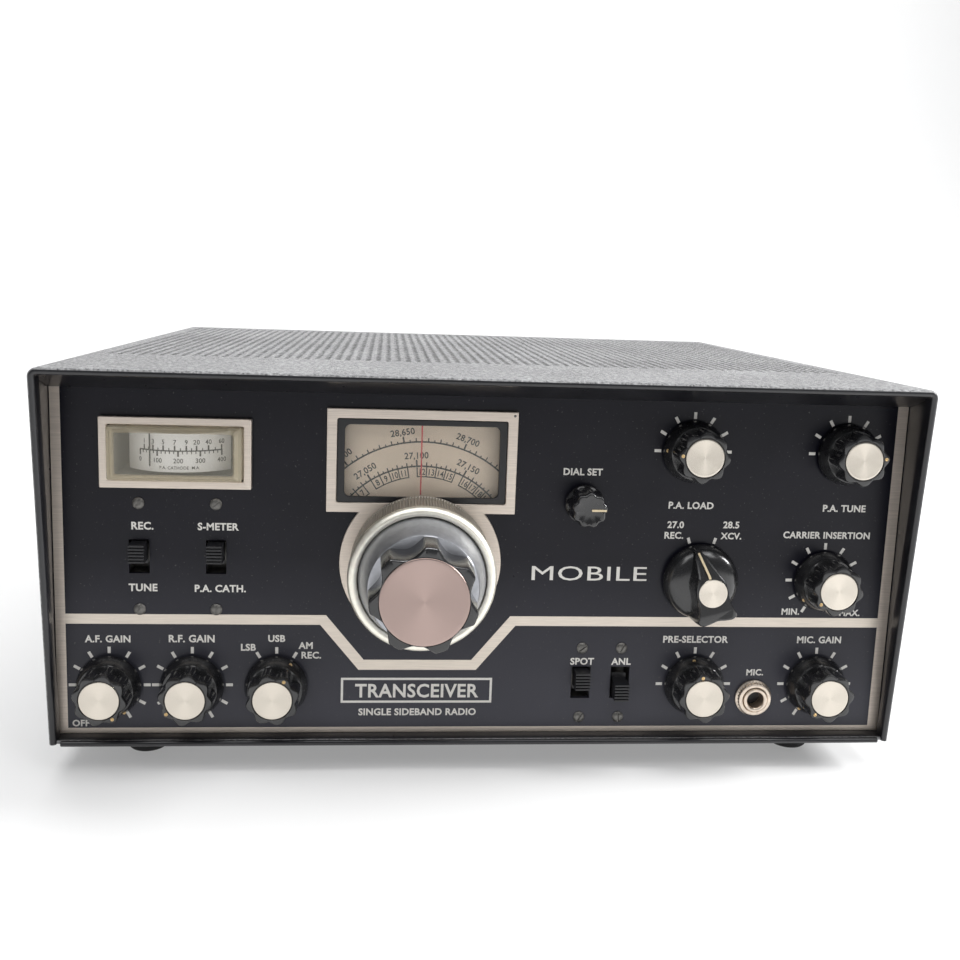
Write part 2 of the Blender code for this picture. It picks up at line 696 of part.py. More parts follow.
def rear_openings(bm):
    for x, z, r in (
        (COAX_X, COAX_Z, 6.6), (GLAND_X, GLAND_Z, 6.4), (FUSE_X, FUSE_Z, 6.4), (STUD_X, STUD_Z, 2.6),
    ):
        add_turned(bm, x, z, ((r, REAR_Y - 4.0), (r, REAR_Y + REAR_T + 1.0)), 20)


cut(rear_panel, "rear_cuts", rear_openings)


def apron_openings(bm):
    for x, z, r in (
        (COAX_X, COAX_Z, 6.6), (GLAND_X, GLAND_Z, 6.4), (FUSE_X, FUSE_Z, 6.4), (STUD_X, STUD_Z, 2.6),
    ):
        add_turned(bm, x, z, ((r, REAR_Y - 8.0), (r, REAR_Y + 1.0)), 20)


cut(chassis, "apron_cuts", apron_openings)

outside = REAR_Y + REAR_T + GAP

# Coaxial aerial socket: flange, threaded barrel and a blind bore
bm = bmesh.new()
n = 32
square = []
for i in range(n):
    t = 2 * math.pi * (i + 0.5) / n
    k = 12.5 / max(abs(math.cos(t)), abs(math.sin(t)))
    square.append((COAX_X + min(k, 15.6) * math.cos(t), COAX_Z + min(k, 15.6) * math.sin(t)))
rings = [
    round_ring(COAX_X, REAR_Y - 12.0, COAX_Z, 6.2, n),
    round_ring(COAX_X, outside, COAX_Z, 6.2, n),
    [(a, outside, b) for a, b in square],
    [(a, outside + 1.6, b) for a, b in square],
    round_ring(COAX_X, outside + 1.6, COAX_Z, 7.9, n),
    round_ring(COAX_X, 277.1, COAX_Z, 7.9, n),
]
add_rings(bm, rings)
coax = finish(bm, "coax_socket", steel, smooth=30)


def coax_bore(bm):
    add_turned(bm, COAX_X, COAX_Z, ((5.8, 266.0), (5.8, 280.0)), 24)


cut(coax, "coax_cut", coax_bore)

# Strain-relief gland for the power cord
bm = bmesh.new()
gland = ((3.4, REAR_Y - 8.0), (6.0, REAR_Y - 8.0), (6.0, outside), (8.6, outside))
gland += ((8.6, outside + 2.0), (7.0, outside + 7.0), (3.4, outside + 7.0))
add_torus_like(bm, GLAND_X, GLAND_Z, gland, 24)
finish(bm, "power_cord_gland", bakelite, smooth=40)

# Fuse holder with a screw cap
bm = bmesh.new()
fuse = ((6.0, REAR_Y - 30.0), (6.0, outside), (8.0, outside), (8.0, outside + 3.0))
fuse += ((6.6, outside + 3.4), (6.6, outside + 11.0), (5.8, outside + 12.0))
add_turned(bm, FUSE_X, FUSE_Z, fuse, 24)
finish(bm, "fuse_holder", bakelite, smooth=40)

# Ground stud with its nut
bm = bmesh.new()
stud = ((2.2, REAR_Y - 6.0), (2.2, outside), (5.0, outside), (5.0, outside + 3.0))
stud += ((2.2, outside + 3.0), (2.2, outside + 12.0), (1.8, outside + 12.5))
add_turned(bm, STUD_X, STUD_Z, stud, 18)
finish(bm, "ground_stud", brass, smooth=40)

deck_top = DECK_Z + SHEET + GAP

# Power transformer: laminated core with the winding bells front and back
bm = bmesh.new()
add_extrusion(bm, rounded_rect(-92.0, 208.0, 78.0, 66.0, 6.0, 3), "Z", deck_top, 122.0)
finish(bm, "power_transformer", core_steel, smooth=40)

# Power amplifier tubes, standing
tube = ((14.0, deck_top), (14.0, 63.0), (18.6, 68.0), (19.0, 74.0), (19.0, 112.0))
tube += ((15.0, 122.0), (7.0, 127.0), (4.5, 128.0), (4.5, 136.0), (3.6, 137.0))
for name, tx in (("pa_tube_left", 72.0), ("pa_tube_right", 118.0)):
    bm = bmesh.new()
    add_rings(bm, [round_ring(tx, 206.0, z, r, 24, "Z") for r, z in tube])
    finish(bm, name, tube_glass, smooth=40)

# Main circuit board on two rails
bm = bmesh.new()
board = [(24.0, deck_top), (27.0, deck_top), (27.0, 60.0), (141.0, 60.0), (141.0, deck_top)]
board += [(144.0, deck_top), (144.0, 61.6), (24.0, 61.6)]
add_extrusion(bm, board, "Y", 62.0, 172.0)
finish(bm, "circuit_board", board_green)

# Loudspeaker under the perforated top
bm = bmesh.new()
horn = ((16.0, deck_top), (16.0, 66.0), (24.0, 68.0), (44.0, 96.0), (47.0, 96.5), (47.0, 99.5))
add_rings(bm, [round_ring(-108.0, 110.0, z, r, 32, "Z") for r, z in horn])
finish(bm, "loudspeaker", paper_cone, smooth=40)
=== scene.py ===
import math

import bmesh
import bpy
from mathutils import Matrix, Vector


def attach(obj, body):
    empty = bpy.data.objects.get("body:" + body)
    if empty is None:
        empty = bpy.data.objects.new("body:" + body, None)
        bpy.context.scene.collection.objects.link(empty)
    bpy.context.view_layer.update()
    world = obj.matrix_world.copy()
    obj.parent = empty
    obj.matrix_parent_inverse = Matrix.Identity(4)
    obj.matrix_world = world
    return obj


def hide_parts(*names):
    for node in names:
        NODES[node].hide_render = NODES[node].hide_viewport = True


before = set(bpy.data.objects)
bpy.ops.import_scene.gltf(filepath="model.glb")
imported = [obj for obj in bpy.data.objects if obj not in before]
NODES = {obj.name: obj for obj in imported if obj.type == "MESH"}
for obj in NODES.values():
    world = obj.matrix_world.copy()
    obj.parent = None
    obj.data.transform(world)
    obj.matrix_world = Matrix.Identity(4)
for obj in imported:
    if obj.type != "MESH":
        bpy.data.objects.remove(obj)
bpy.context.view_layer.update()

MM = 0.001
SHIFT_Y = -114.35
SHIFT_Z = 12.0
CAPITAL_HEIGHT = 0.729
BASE = "transceiver"


def at(x, y, z):
    """A design point in mm (panel face at y 0, case bottom at z 0) in world metres."""
    return Vector((x * MM, (y + SHIFT_Y) * MM, (z + SHIFT_Z) * MM))


# ---------------------------------------------------------------- materials
class Shader:
    """A small helper that builds a node material."""

    def __init__(self, name, **consts):
        self.mat = bpy.data.materials.new(name)
        self.mat.use_nodes = True
        self.tree = self.mat.node_tree
        self.bsdf = self.tree.nodes["Principled BSDF"]
        for key, value in consts.items():
            self.bsdf.inputs[key.replace("_", " ")].default_value = value
        self.coord = self.node("ShaderNodeTexCoord").outputs["Object"]

    def node(self, kind, **props):
        n = self.tree.nodes.new(kind)
        for key, value in props.items():
            setattr(n, key, value)
        return n

    def link(self, a, b):
        self.tree.links.new(a, b)

    def mapped(self, scale):
        m = self.node("ShaderNodeMapping")
        m.inputs["Scale"].default_value = scale
        self.link(self.coord, m.inputs["Vector"])
        return m.outputs["Vector"]

    def noise(self, scale, detail=3.0, rough=0.55, vector=None):
        n = self.node("ShaderNodeTexNoise")
        n.inputs["Scale"].default_value = scale
        n.inputs["Detail"].default_value = detail
        n.inputs["Roughness"].default_value = rough
        self.link(vector or self.coord, n.inputs["Vector"])
        return n.outputs["Fac"]

    def pebbles(self, scale):
        n = self.node("ShaderNodeTexVoronoi", feature="SMOOTH_F1")
        n.inputs["Scale"].default_value = scale
        self.link(self.coord, n.inputs["Vector"])
        return n.outputs["Distance"]

    def ramp(self, fac, stops):
        n = self.node("ShaderNodeValToRGB")
        for element, (place, colour) in zip(n.color_ramp.elements, stops):
            element.position = place
            element.color = (*colour, 1.0)
        self.link(fac, n.inputs["Fac"])
        return n.outputs["Color"]

    def span(self, fac, low, high, a=0.0, b=1.0):
        n = self.node("ShaderNodeMapRange")
        n.inputs["From Min"].default_value = a
        n.inputs["From Max"].default_value = b
        n.inputs["To Min"].default_value = low
        n.inputs["To Max"].default_value = high
        self.link(fac, n.inputs["Value"])
        return n.outputs["Result"]

    def mix(self, fac, a, b, blend="MIX"):
        n = self.node("ShaderNodeMix", data_type="RGBA", blend_type=blend)
        for sock, val in ((n.inputs[0], fac), (n.inputs[6], a), (n.inputs[7], b)):
            if hasattr(val, "links"):
                self.link(val, sock)
            elif isinstance(val, (int, float)):
                sock.default_value = val
            else:
                sock.default_value = (*val, 1.0)
        return n.outputs[2]

    def math(self, op, a, b):
        n = self.node("ShaderNodeMath", operation=op)
        for sock, val in zip(n.inputs, (a, b)):
            if hasattr(val, "links"):
                self.link(val, sock)
            else:
                sock.default_value = val
        return n.outputs[0]

    def bump(self, height, strength, distance):
        n = self.node("ShaderNodeBump")
        n.inputs["Strength"].default_value = strength
        n.inputs["Distance"].default_value = distance
        self.link(height, n.inputs["Height"])
        self.link(n.outputs["Normal"], self.bsdf.inputs["Normal"])

    def colour(self, out):
        self.link(out, self.bsdf.inputs["Base Color"])

    def rough(self, out):
        self.link(out, self.bsdf.inputs["Roughness"])


def make_cover_paint():
    s = Shader("cover_pebble_paint", Metallic=0.0)
    grain = s.pebbles(760)
    fine = s.noise(2300, 2.0)
    both = s.math("ADD", grain, s.math("MULTIPLY", fine, 0.8))
    wide = s.noise(18, 4.0)
    tone = s.ramp(wide, [(0.3, (0.150, 0.150, 0.153)), (0.7, (0.210, 0.210, 0.214))])
    # Painted shade and light: the colour darkens in the pebbles' pits and brightens on their crests,
    # following the bump's height; the bump alone gives the real grain.
    pebble_shading_paint = s.ramp(grain, [(0.0, (0.34, 0.34, 0.34)), (0.7, (1.75, 1.75, 1.75))])
    s.colour(s.mix(1.0, tone, pebble_shading_paint, "MULTIPLY"))
    s.rough(s.span(fine, 0.36, 0.56))
    s.bump(both, 1.0, 0.0009)
    return s.mat


def make_lip_gloss():
    s = Shader("lip_gloss_black", Metallic=0.0)
    s.bsdf.inputs["Coat Weight"].default_value = 0.3
    s.bsdf.inputs["Coat Roughness"].default_value = 0.12
    wide = s.noise(55, 4.0)
    s.colour(s.ramp(wide, [(0.3, (0.006, 0.006, 0.008)), (0.75, (0.013, 0.013, 0.016))]))
    s.rough(s.span(s.noise(240, 3.0), 0.24, 0.36))
    return s.mat


def make_panel_black():
    s = Shader("panel_satin_black", Metallic=0.0)
    s.bsdf.inputs["Specular IOR Level"].default_value = 0.24
    wide = s.noise(26, 5.0)
    dust = s.noise(1300, 1.0)
    specks = s.span(dust, 0.0, 1.0, 0.735, 0.78)
    tone = s.ramp(wide, [(0.3, (0.006, 0.006, 0.011)), (0.75, (0.011, 0.0105, 0.017))])
    # Painted light: the colour grows lighter towards the bottom of the panel, where the panel mirrors the
    # bright floor.
    parts = s.node("ShaderNodeSeparateXYZ")
    s.link(s.coord, parts.inputs[0])
    floor_glow_paint = s.span(parts.outputs["Z"], 1.0, 0.0, 0.012, 0.085)
    tone = s.mix(floor_glow_paint, tone, (0.085, 0.085, 0.094))
    tone = s.mix(1.0, tone, (0.66, 0.66, 0.74), "MULTIPLY")
    s.colour(s.mix(s.math("MULTIPLY", specks, 0.45), tone, (0.12, 0.115, 0.11)))
    s.rough(s.span(s.noise(70, 4.0), 0.24, 0.36))
    s.bump(s.noise(2400, 2.0), 0.06, 0.0002)
    return s.mat


def make_champagne(name="champagne_satin", tone=(0.74, 0.655, 0.575), scale=(30, 900, 900)):
    s = Shader(name, Metallic=0.75)
    lines = s.noise(3.0, 4.0, 0.6, s.mapped(scale))
    wide = s.noise(40, 3.0)
    dark = tuple(c * 0.84 for c in tone)
    light = tuple(min(1.0, c * 1.1) for c in tone)
    brushed = s.ramp(lines, [(0.3, dark), (0.7, light)])
    s.colour(s.mix(s.span(wide, 0.0, 0.35), brushed, tuple(c * 0.92 for c in tone)))
    s.rough(s.span(lines, 0.34, 0.52))
    s.bump(lines, 0.12, 0.00015)
    return s.mat


def make_knob_black():
    s = Shader("knob_phenolic", Metallic=0.0)
    s.bsdf.inputs["Coat Weight"].default_value = 0.6
    s.bsdf.inputs["Coat Roughness"].default_value = 0.16
    wide = s.noise(90, 4.0)
    tone = s.ramp(wide, [(0.3, (0.007, 0.007, 0.008)), (0.75, (0.016, 0.016, 0.017))])
    # Painted highlight: the colour grows lighter on the grips' sharp convex edges.
    edge_highlight_paint = s.span(s.node("ShaderNodeNewGeometry").outputs["Pointiness"], 0.0, 1.0, 0.52, 0.62)
    s.colour(s.mix(s.math("MULTIPLY", edge_highlight_paint, 0.12), tone, (0.06, 0.06, 0.06)))
    dust = s.noise(1700, 2.0)
    s.rough(s.math("ADD", s.span(s.noise(160, 4.0), 0.20, 0.27), s.span(dust, 0.0, 0.14, 0.62, 0.8)))
    s.bump(s.noise(700, 3.0), 0.04, 0.00005)
    return s.mat


def make_spun(name, tone):
    """Spun metal face: fine rings round the middle of the piece's own box, seen on its -Y face."""
    s = Shader(name, Metallic=1.0, Anisotropic=0.93)
    box_coord = s.node("ShaderNodeTexCoord").outputs["Generated"]
    off = s.node("ShaderNodeVectorMath", operation="SUBTRACT")
    off.inputs[1].default_value = (0.5, 0.5, 0.5)
    s.link(box_coord, off.inputs[0])
    flat = s.node("ShaderNodeVectorMath", operation="MULTIPLY")
    flat.inputs[1].default_value = (1.0, 0.0, 1.0)
    s.link(off.outputs[0], flat.inputs[0])
    length = s.node("ShaderNodeVectorMath", operation="LENGTH")
    s.link(flat.outputs[0], length.inputs[0])
    comb = s.node("ShaderNodeCombineXYZ")
    s.link(s.math("MULTIPLY", length.outputs["Value"], 90.0), comb.inputs[0])
    rings = s.noise(1.0, 3.0, 0.7, comb.outputs[0])
    dark = tuple(c * 0.86 for c in tone)
    s.colour(s.ramp(rings, [(0.3, dark), (0.7, tone)]))
    s.rough(s.span(rings, 0.20, 0.30))
    s.bump(rings, 0.10, 0.0001)
    tan = s.node("ShaderNodeTangent", direction_type="RADIAL", axis="Y")
    s.link(tan.outputs[0], s.bsdf.inputs["Tangent"])
    return s.mat


def make_plain(name, colour, rough, metallic=0.0, grain=300, vary=0.15, bump=0.08, depth=0.0002):
    """A grained surface: colour and roughness wander a little, with a fine bump."""
    s = Shader(name, Metallic=metallic)
    n = s.noise(grain, 4.0)
    wide = s.noise(grain / 9, 3.0)
    dark = tuple(c * (1 - vary) for c in colour)
    light = tuple(min(1.0, c * (1 + vary)) for c in colour)
    tone = s.ramp(n, [(0.3, dark), (0.7, light)])
    s.colour(s.mix(s.span(wide, 0.0, 0.4), tone, dark))
    s.rough(s.span(n, rough[0], rough[1]))
    s.bump(n, bump, depth)
    return s.mat


def make_clear(name, tint, rough=0.04, alpha=0.08):
    """Clear or tinted plastic, faintly smeared."""
    s = Shader(name, Metallic=0.0, Alpha=alpha)
    s.bsdf.inputs["Base Color"].default_value = (*tint, 1.0)
    s.bsdf.inputs["Specular IOR Level"].default_value = 0.6
    s.rough(s.span(s.noise(500, 3.0), rough, rough + 0.08))
    return s.mat


COVER = make_cover_paint()
LIP = make_lip_gloss()
PANEL = make_panel_black()
CHAMPAGNE = make_champagne()
TRIM = make_champagne("trim_champagne", (0.70, 0.63, 0.55))
KNURL = make_champagne("knurl_champagne", (0.46, 0.43, 0.385), (500, 60, 500))
BLACK = make_knob_black()
LEGEND = make_plain("legend_ink", (0.72, 0.70, 0.66), (0.5, 0.7), grain=900, vary=0.06, bump=0.02)
INK = make_plain("dial_ink", (0.014, 0.013, 0.013), (0.5, 0.7), grain=900, vary=0.1, bump=0.02)
CREAM = make_plain("dial_cream_face", (0.92, 0.76, 0.60), (0.45, 0.6), grain=160, vary=0.05, bump=0.03)
CARD = make_plain("meter_card", (0.84, 0.83, 0.81), (0.5, 0.65), grain=260, vary=0.04, bump=0.03)
RED = make_plain("hairline_red", (0.62, 0.03, 0.04), (0.35, 0.5), grain=600, vary=0.08)
CASE = make_plain("meter_case_grey", (0.40, 0.38, 0.34), (0.35, 0.5), grain=300, vary=0.08)
DARK = make_plain("dark_plastic", (0.012, 0.012, 0.014), (0.28, 0.42), grain=420, vary=0.25)
RUBBER = make_plain("foot_rubber_black", (0.018, 0.018, 0.019), (0.62, 0.85), grain=900, vary=0.3, bump=0.35,
                    depth=0.0004)
STEEL = make_plain("screw_steel", (0.45, 0.44, 0.42), (0.3, 0.5), 1.0, grain=700, vary=0.2)
DARKSTEEL = make_plain("screw_dark", (0.17, 0.165, 0.155), (0.32, 0.55), 0.8, grain=700, vary=0.3)
JACK = make_plain("jack_bronze", (0.74, 0.64, 0.54), (0.24, 0.42), 1.0, grain=520, vary=0.2)
NICKEL = make_plain("nickel_plate", (0.72, 0.69, 0.62), (0.16, 0.32), 1.0, grain=380, vary=0.12)
BRASS = make_plain("dot_brass", (0.62, 0.44, 0.22), (0.3, 0.45), 0.9, grain=900, vary=0.15)
IVORY = make_plain("pointer_ivory", (0.70, 0.58, 0.38), (0.4, 0.55), grain=800, vary=0.1)
CLEAR = make_clear("meter_clear", (0.80, 0.76, 0.64), alpha=0.10)
AMBER = make_clear("meter_rim_amber", (0.86, 0.76, 0.56), 0.08, 0.40)
RIM = make_plain("rim_satin", (0.97, 0.92, 0.82), (0.40, 0.48), 1.0, grain=420, vary=0.08)
SKIRT = make_plain("skirt_gloss", (0.46, 0.47, 0.50), (0.30, 0.38), 0.85, grain=420, vary=0.12, bump=0.03)
PANE = make_clear("dial_pane", (0.90, 0.88, 0.80))
ALU = make_plain("chassis_aluminium", (0.55, 0.55, 0.54), (0.35, 0.55), 1.0, grain=240, vary=0.12)
REAR = make_plain("rear_satin_black", (0.016, 0.016, 0.018), (0.36, 0.52), grain=900, vary=0.25, bump=0.12,
                  depth=0.0003)
CORE = make_plain("transformer_core", (0.03, 0.03, 0.034), (0.35, 0.55), 0.4, grain=420, vary=0.3)
BOARD = make_plain("board_laminate", (0.05, 0.12, 0.04), (0.3, 0.5), grain=800, vary=0.2)
PAPER = make_plain("cone_paper", (0.05, 0.047, 0.043), (0.7, 0.9), grain=900, vary=0.3, bump=0.3)
GLASS = make_plain("tube_glass_smoked", (0.10, 0.10, 0.11), (0.06, 0.14), grain=200, vary=0.2, bump=0.02)
FLOOR = make_plain("sweep_white", (0.56, 0.56, 0.56), (0.55, 0.7), grain=30, vary=0.005, bump=0.0)
FLOOR_SHADER = FLOOR.node_tree.nodes["Principled BSDF"]
FLOOR_SHADER.inputs["Emission Color"].default_value = (1.0, 1.0, 1.0, 1.0)
FLOOR_SHADER.inputs["Emission Strength"].default_value = 0.27
SPUN = make_spun("spun_cap", (0.70, 0.645, 0.565))
SPUN_PINK = make_spun("spun_cap_pink", (0.42, 0.32, 0.29))


# ---------------------------------------------------------------- mesh helpers
def place_mesh(bm, name):
    """Turn a bmesh drawn in design mm into an object in world metres."""
    bmesh.ops.recalc_face_normals(bm, faces=bm.faces)
    for v in bm.verts:
        v.co = at(*v.co)
    mesh = bpy.data.meshes.new(name)
    bm.to_mesh(mesh)
    bm.free()
    obj = bpy.data.objects.new(name, mesh)
    bpy.context.scene.collection.objects.link(obj)
    return obj


def new_object(bm, name, mat, body=BASE, smooth=None, bevel=None, extra=()):
    """Add a visible piece: smooth is the angle of its sharp edges, bevel a width in mm."""
    obj = place_mesh(bm, name)
    mesh = obj.data
    for m in (mat, *extra):
        mesh.materials.append(m)
    if bevel:
        mod = obj.modifiers.new("bevel", "BEVEL")
        mod.width = bevel * MM
        mod.segments = 3
        mod.limit_method = "ANGLE"
        mod.angle_limit = math.radians(32)
        mesh.shade_smooth()
        obj.modifiers.new("normals", "WEIGHTED_NORMAL").keep_sharp = True
    elif smooth:
        mesh.shade_smooth()
        mesh.set_sharp_from_angle(angle=math.radians(smooth))
    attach(obj, body)
    return obj


def join_loops(bm, loops, closed=False, mat=0):
    """Skin vertex loops one to the next, and the last to the first if closed."""
    pairs = list(zip(loops, loops[1:]))
    if closed:
        pairs.append((loops[-1], loops[0]))
    n = len(loops[0])
    for a, b in pairs:
        for i in range(n):
            j = (i + 1) % n
            bm.faces.new((a[i], a[j], b[j], b[i])).material_index = mat


def rings_solid(bm, rings):
    """A solid skinned over rings of points, with flat ends."""
    loops = [[bm.verts.new(p) for p in ring] for ring in rings]
    join_loops(bm, loops)
    bm.faces.new(loops[0])
    bm.faces.new(loops[-1])


def spot(cx, cz, r, deg):
    """The point at radius r and that angle in degrees about (cx, cz)."""
    return cx + r * math.cos(math.radians(deg)), cz + r * math.sin(math.radians(deg))


def turned_up(bm, x, y, profile, n):
    """Turn (r, z) pairs about the Z axis through (x, y)."""
    rings_solid(bm, [[(*spot(x, y, r, 360 * i / n), z) for i in range(n)] for r, z in profile])


def lathe(bm, x, z, profile, n=64, closed=False):
    """Turn (r, y) pairs about the Y axis through (x, z)."""
    loops = []
    for r, y in profile:
        circle = [spot(x, z, r, 360 * i / n) for i in range(n)]
        loops.append([bm.verts.new((u, y, v)) for u, v in circle])
    join_loops(bm, loops, closed)
    if not closed:
        bm.faces.new(loops[0])
        bm.faces.new(loops[-1])


def knurled(bm, x, z, rows, grooves, depth):
    """Turn (r, y, grooved) rows about the Y axis, with that many grooves cut in the grooved rows."""
    n = grooves * 4
    loops = []
    for r, y, grooved in rows:
        radii = [r - depth if grooved and i % 4 in (2, 3) else r for i in range(n)]
        circle = [spot(x, z, radius, 360 * i / n) for i, radius in enumerate(radii)]
        loops.append([bm.verts.new((u, y, v)) for u, v in circle])
    join_loops(bm, loops, closed=True)


def box(bm, x0, x1, y0, y1, z0, z1):
    """A rectangular block between two corners."""
    low = [(x0, y0, z0), (x1, y0, z0), (x1, y1, z0), (x0, y1, z0)]
    rings_solid(bm, [low, [(x, y, z1) for x, y, _ in low]])


def prism(bm, outline, low, high):
    """An (x, z) outline carried along Y."""
    rings_solid(bm, [[(x, y, z) for x, z in outline] for y in (low, high)])


def bar(bm, side, places):
    """A (y, z) outline carried along X through those places."""
    rings_solid(bm, [[(x, y, z) for y, z in side] for x in places])


def arc(cx, cz, r, start, end, n):
    """Points of an arc, in degrees from the first axis."""
    return [spot(cx, cz, r, start + (end - start) * i / n) for i in range(n + 1)]


def rounded_box(x0, x1, z0, z1, r, n):
    """Outline of a rectangle with rounded corners, given its edges."""
    corners = ((x1 - r, z1 - r), (x0 + r, z1 - r), (x0 + r, z0 + r), (x1 - r, z0 + r))
    return [p for k, (cx, cz) in enumerate(corners) for p in arc(cx, cz, r, 90 * k, 90 * k + 90, n)]


def rounded(cx, cz, w, h, r, n=6):
    """Outline of a rectangle with rounded corners, given its centre and size."""
    return rounded_box(cx - w / 2, cx + w / 2, cz - h / 2, cz + h / 2, r, n)


def frame_between(bm, outer, inner, y_front, y_back):
    """A flat frame between two outlines of equal length."""
    rows = [[bm.verts.new((a, y, b)) for a, b in line]
            for y, line in ((y_front, outer), (y_front, inner), (y_back, inner), (y_back, outer))]
    join_loops(bm, rows, closed=True)


def cut(obj, build):
    """Cut the closed solids that build() adds out of obj, before its other modifiers."""
    bm = bmesh.new()
    build(bm)
    cutter = place_mesh(bm, "cutter")
    others = list(obj.modifiers)
    mod = obj.modifiers.new("cut", "BOOLEAN")
    mod.operation = "DIFFERENCE"
    mod.solver = "EXACT"
    mod.object = cutter
    for other in others:
        other.show_viewport = False
    dg = bpy.context.evaluated_depsgraph_get()
    obj.data = bpy.data.meshes.new_from_object(obj.evaluated_get(dg))
    obj.modifiers.remove(mod)
    for other in others:
        other.show_viewport = True
    bpy.data.objects.remove(cutter, do_unlink=True)


INK_T = 0.05
TEXT_SHAPES = {}


def text_shape(body, height, squeeze, bold):
    """Points (u, v, w) and faces of a thin solid text, in mm, with capitals of that height and w 0 or 1."""
    key = (body, height, squeeze, bold)
    if key not in TEXT_SHAPES:
        curve = bpy.data.curves.new("text", "FONT")
        curve.body = body
        curve.align_x = "CENTER"
        curve.resolution_u = 3
        curve.offset = bold
        curve.extrude = 0.5
        curve.space_character = 1.05
        obj = bpy.data.objects.new("text", curve)
        bpy.context.scene.collection.objects.link(obj)
        dg = bpy.context.evaluated_depsgraph_get()
        mesh = bpy.data.meshes.new_from_object(obj.evaluated_get(dg))
        k = height / CAPITAL_HEIGHT
        points = [(v.co.x * k * squeeze, v.co.y * k - height / 2, v.co.z + 0.5) for v in mesh.vertices]
        TEXT_SHAPES[key] = points, [tuple(p.vertices) for p in mesh.polygons]
        bpy.data.objects.remove(obj, do_unlink=True)
        bpy.data.meshes.remove(mesh)
        bpy.data.curves.remove(curve)
    return TEXT_SHAPES[key]


def add_text(bm, body, height, place, squeeze=1.0, bold=0.03):
    """Add solid text, centred, through place(u, v, w) -> a design point, where w = 1 is the front."""
    points, faces = text_shape(body, height, squeeze, bold)
    verts = [bm.verts.new(place(*p)) for p in points]
    for f in faces:
        bm.faces.new([verts[i] for i in f])


def on_panel(x, z, y=0.0, deg=0.0):
    """A placing function for print on a surface facing -Y, turned by deg, standing INK_T proud."""
    c, s = math.cos(math.radians(deg)), math.sin(math.radians(deg))
    return lambda u, v, w: (x + u * c - v * s, y - INK_T * w - 0.01, z + u * s + v * c)


def add_print(bm, corners, place):
    """A thin printed patch with straight edges, given its (u, v) corners in order."""
    rings_solid(bm, [[place(u, v, w) for u, v in corners] for w in (0, 1)])


def add_tick(bm, x, z, y, deg, r0, r1, width):
    """A printed tick along a radius from r0 to r1 at that angle about (x, z)."""
    w = width / 2
    add_print(bm, [(r0, -w), (r1, -w), (r1, w), (r0, w)], on_panel(x, z, y, deg))


def add_arc_line(bm, x, z, y, r, width, start, end, n=48):
    """A printed arc line."""
    outer = arc(0, 0, r + width / 2, start, end, n)
    inner = arc(0, 0, r - width / 2, start, end, n)
    place = on_panel(x, z, y)
    for i in range(n):
        add_print(bm, [outer[i], outer[i + 1], inner[i + 1], inner[i]], place)


# ---------------------------------------------------------------- layout, in mm
HALF_W = 165.1
COVER_Z = 144.5
LIP_BOTTOM_Y = -6.7
LIP_TOP_Y = -18.5
COVER_BACK = 260.9
WALL = 1.3
CORNER_R = 3.5
HEM_T = 2.7
HEM_D = 5.0
FLANGE_Z = 135.9
HOLE_PITCH_X = 4.24
HOLE_PITCH_Y = 4.9
HOLE_R = 1.42
FIELD_FRONT = 44.6
HOLE_COLUMNS = 74
HOLE_ROWS = 42

PANEL_HALF = 163.5
TUNE_X, TUNE_Z = -26.3, 71.2
METER_X, METER_Z = -118.0, 112.35
METER_PIVOT_Y = 23.0
METER_R = 25.0
NEEDLE_DEG = -21.5
WINDOW_X, WINDOW_Z = -26.6, 110.7

KNOBS = {
    "af_gain": (-143.9, 21.3, -56),
    "rf_gain": (-112.8, 21.3, 217),
    "mode": (-80.8, 21.3, 60),
    "pa_load": (78.3, 116.6, 176),
    "pa_tune": (140.0, 116.6, 6),
    "carrier": (134.8, 65.3, 217),
    "preselector": (84.7, 21.8, 98),
    "mic_gain": (135.0, 21.8, 230),
}
BAND_X, BAND_Z, BAND_DEG = 84.2, 65.0, 105
DIAL_SET_X, DIAL_SET_Z = 36.4, 95.4
SWITCHES = {
    "receive_tune": (-132.2, 72.2, 1),
    "meter_select": (-103.7, 72.2, 1),
    "spot": (38.8, 22.3, 1),
    "noise_limiter": (54.6, 22.3, -1),
}
JACK_X, JACK_Z = 109.8, 16.1


# ---------------------------------------------------------------- cabinet cover
def lip_y(z):
    """Front edge of the cover at height z: it leans forward towards the top."""
    return LIP_BOTTOM_Y + (LIP_TOP_Y - LIP_BOTTOM_Y) * z / COVER_Z


def cover_section():
    """(x, z, inward x, inward z) round the cover, from the left foot over the top to the right foot."""
    cx, cz = HALF_W - CORNER_R, COVER_Z - CORNER_R
    half_field = HOLE_COLUMNS * HOLE_PITCH_X / 2

    def corner(x, start):
        for i in range(9):
            t = math.radians(start - 90 * i / 8)
            yield x + CORNER_R * math.cos(t), cz + CORNER_R * math.sin(t), -math.cos(t), -math.sin(t)

    points = [(-HALF_W, z, 1.0, 0.0) for z in (0.0, 45.0, 95.0)]
    points += corner(-cx, 180)
    points += [(-half_field + i * HOLE_PITCH_X, COVER_Z, 0.0, -1.0) for i in range(HOLE_COLUMNS + 1)]
    points += corner(cx, 90)
    points += [(HALF_W, z, -1.0, 0.0) for z in (95.0, 45.0, 0.0)]
    return points


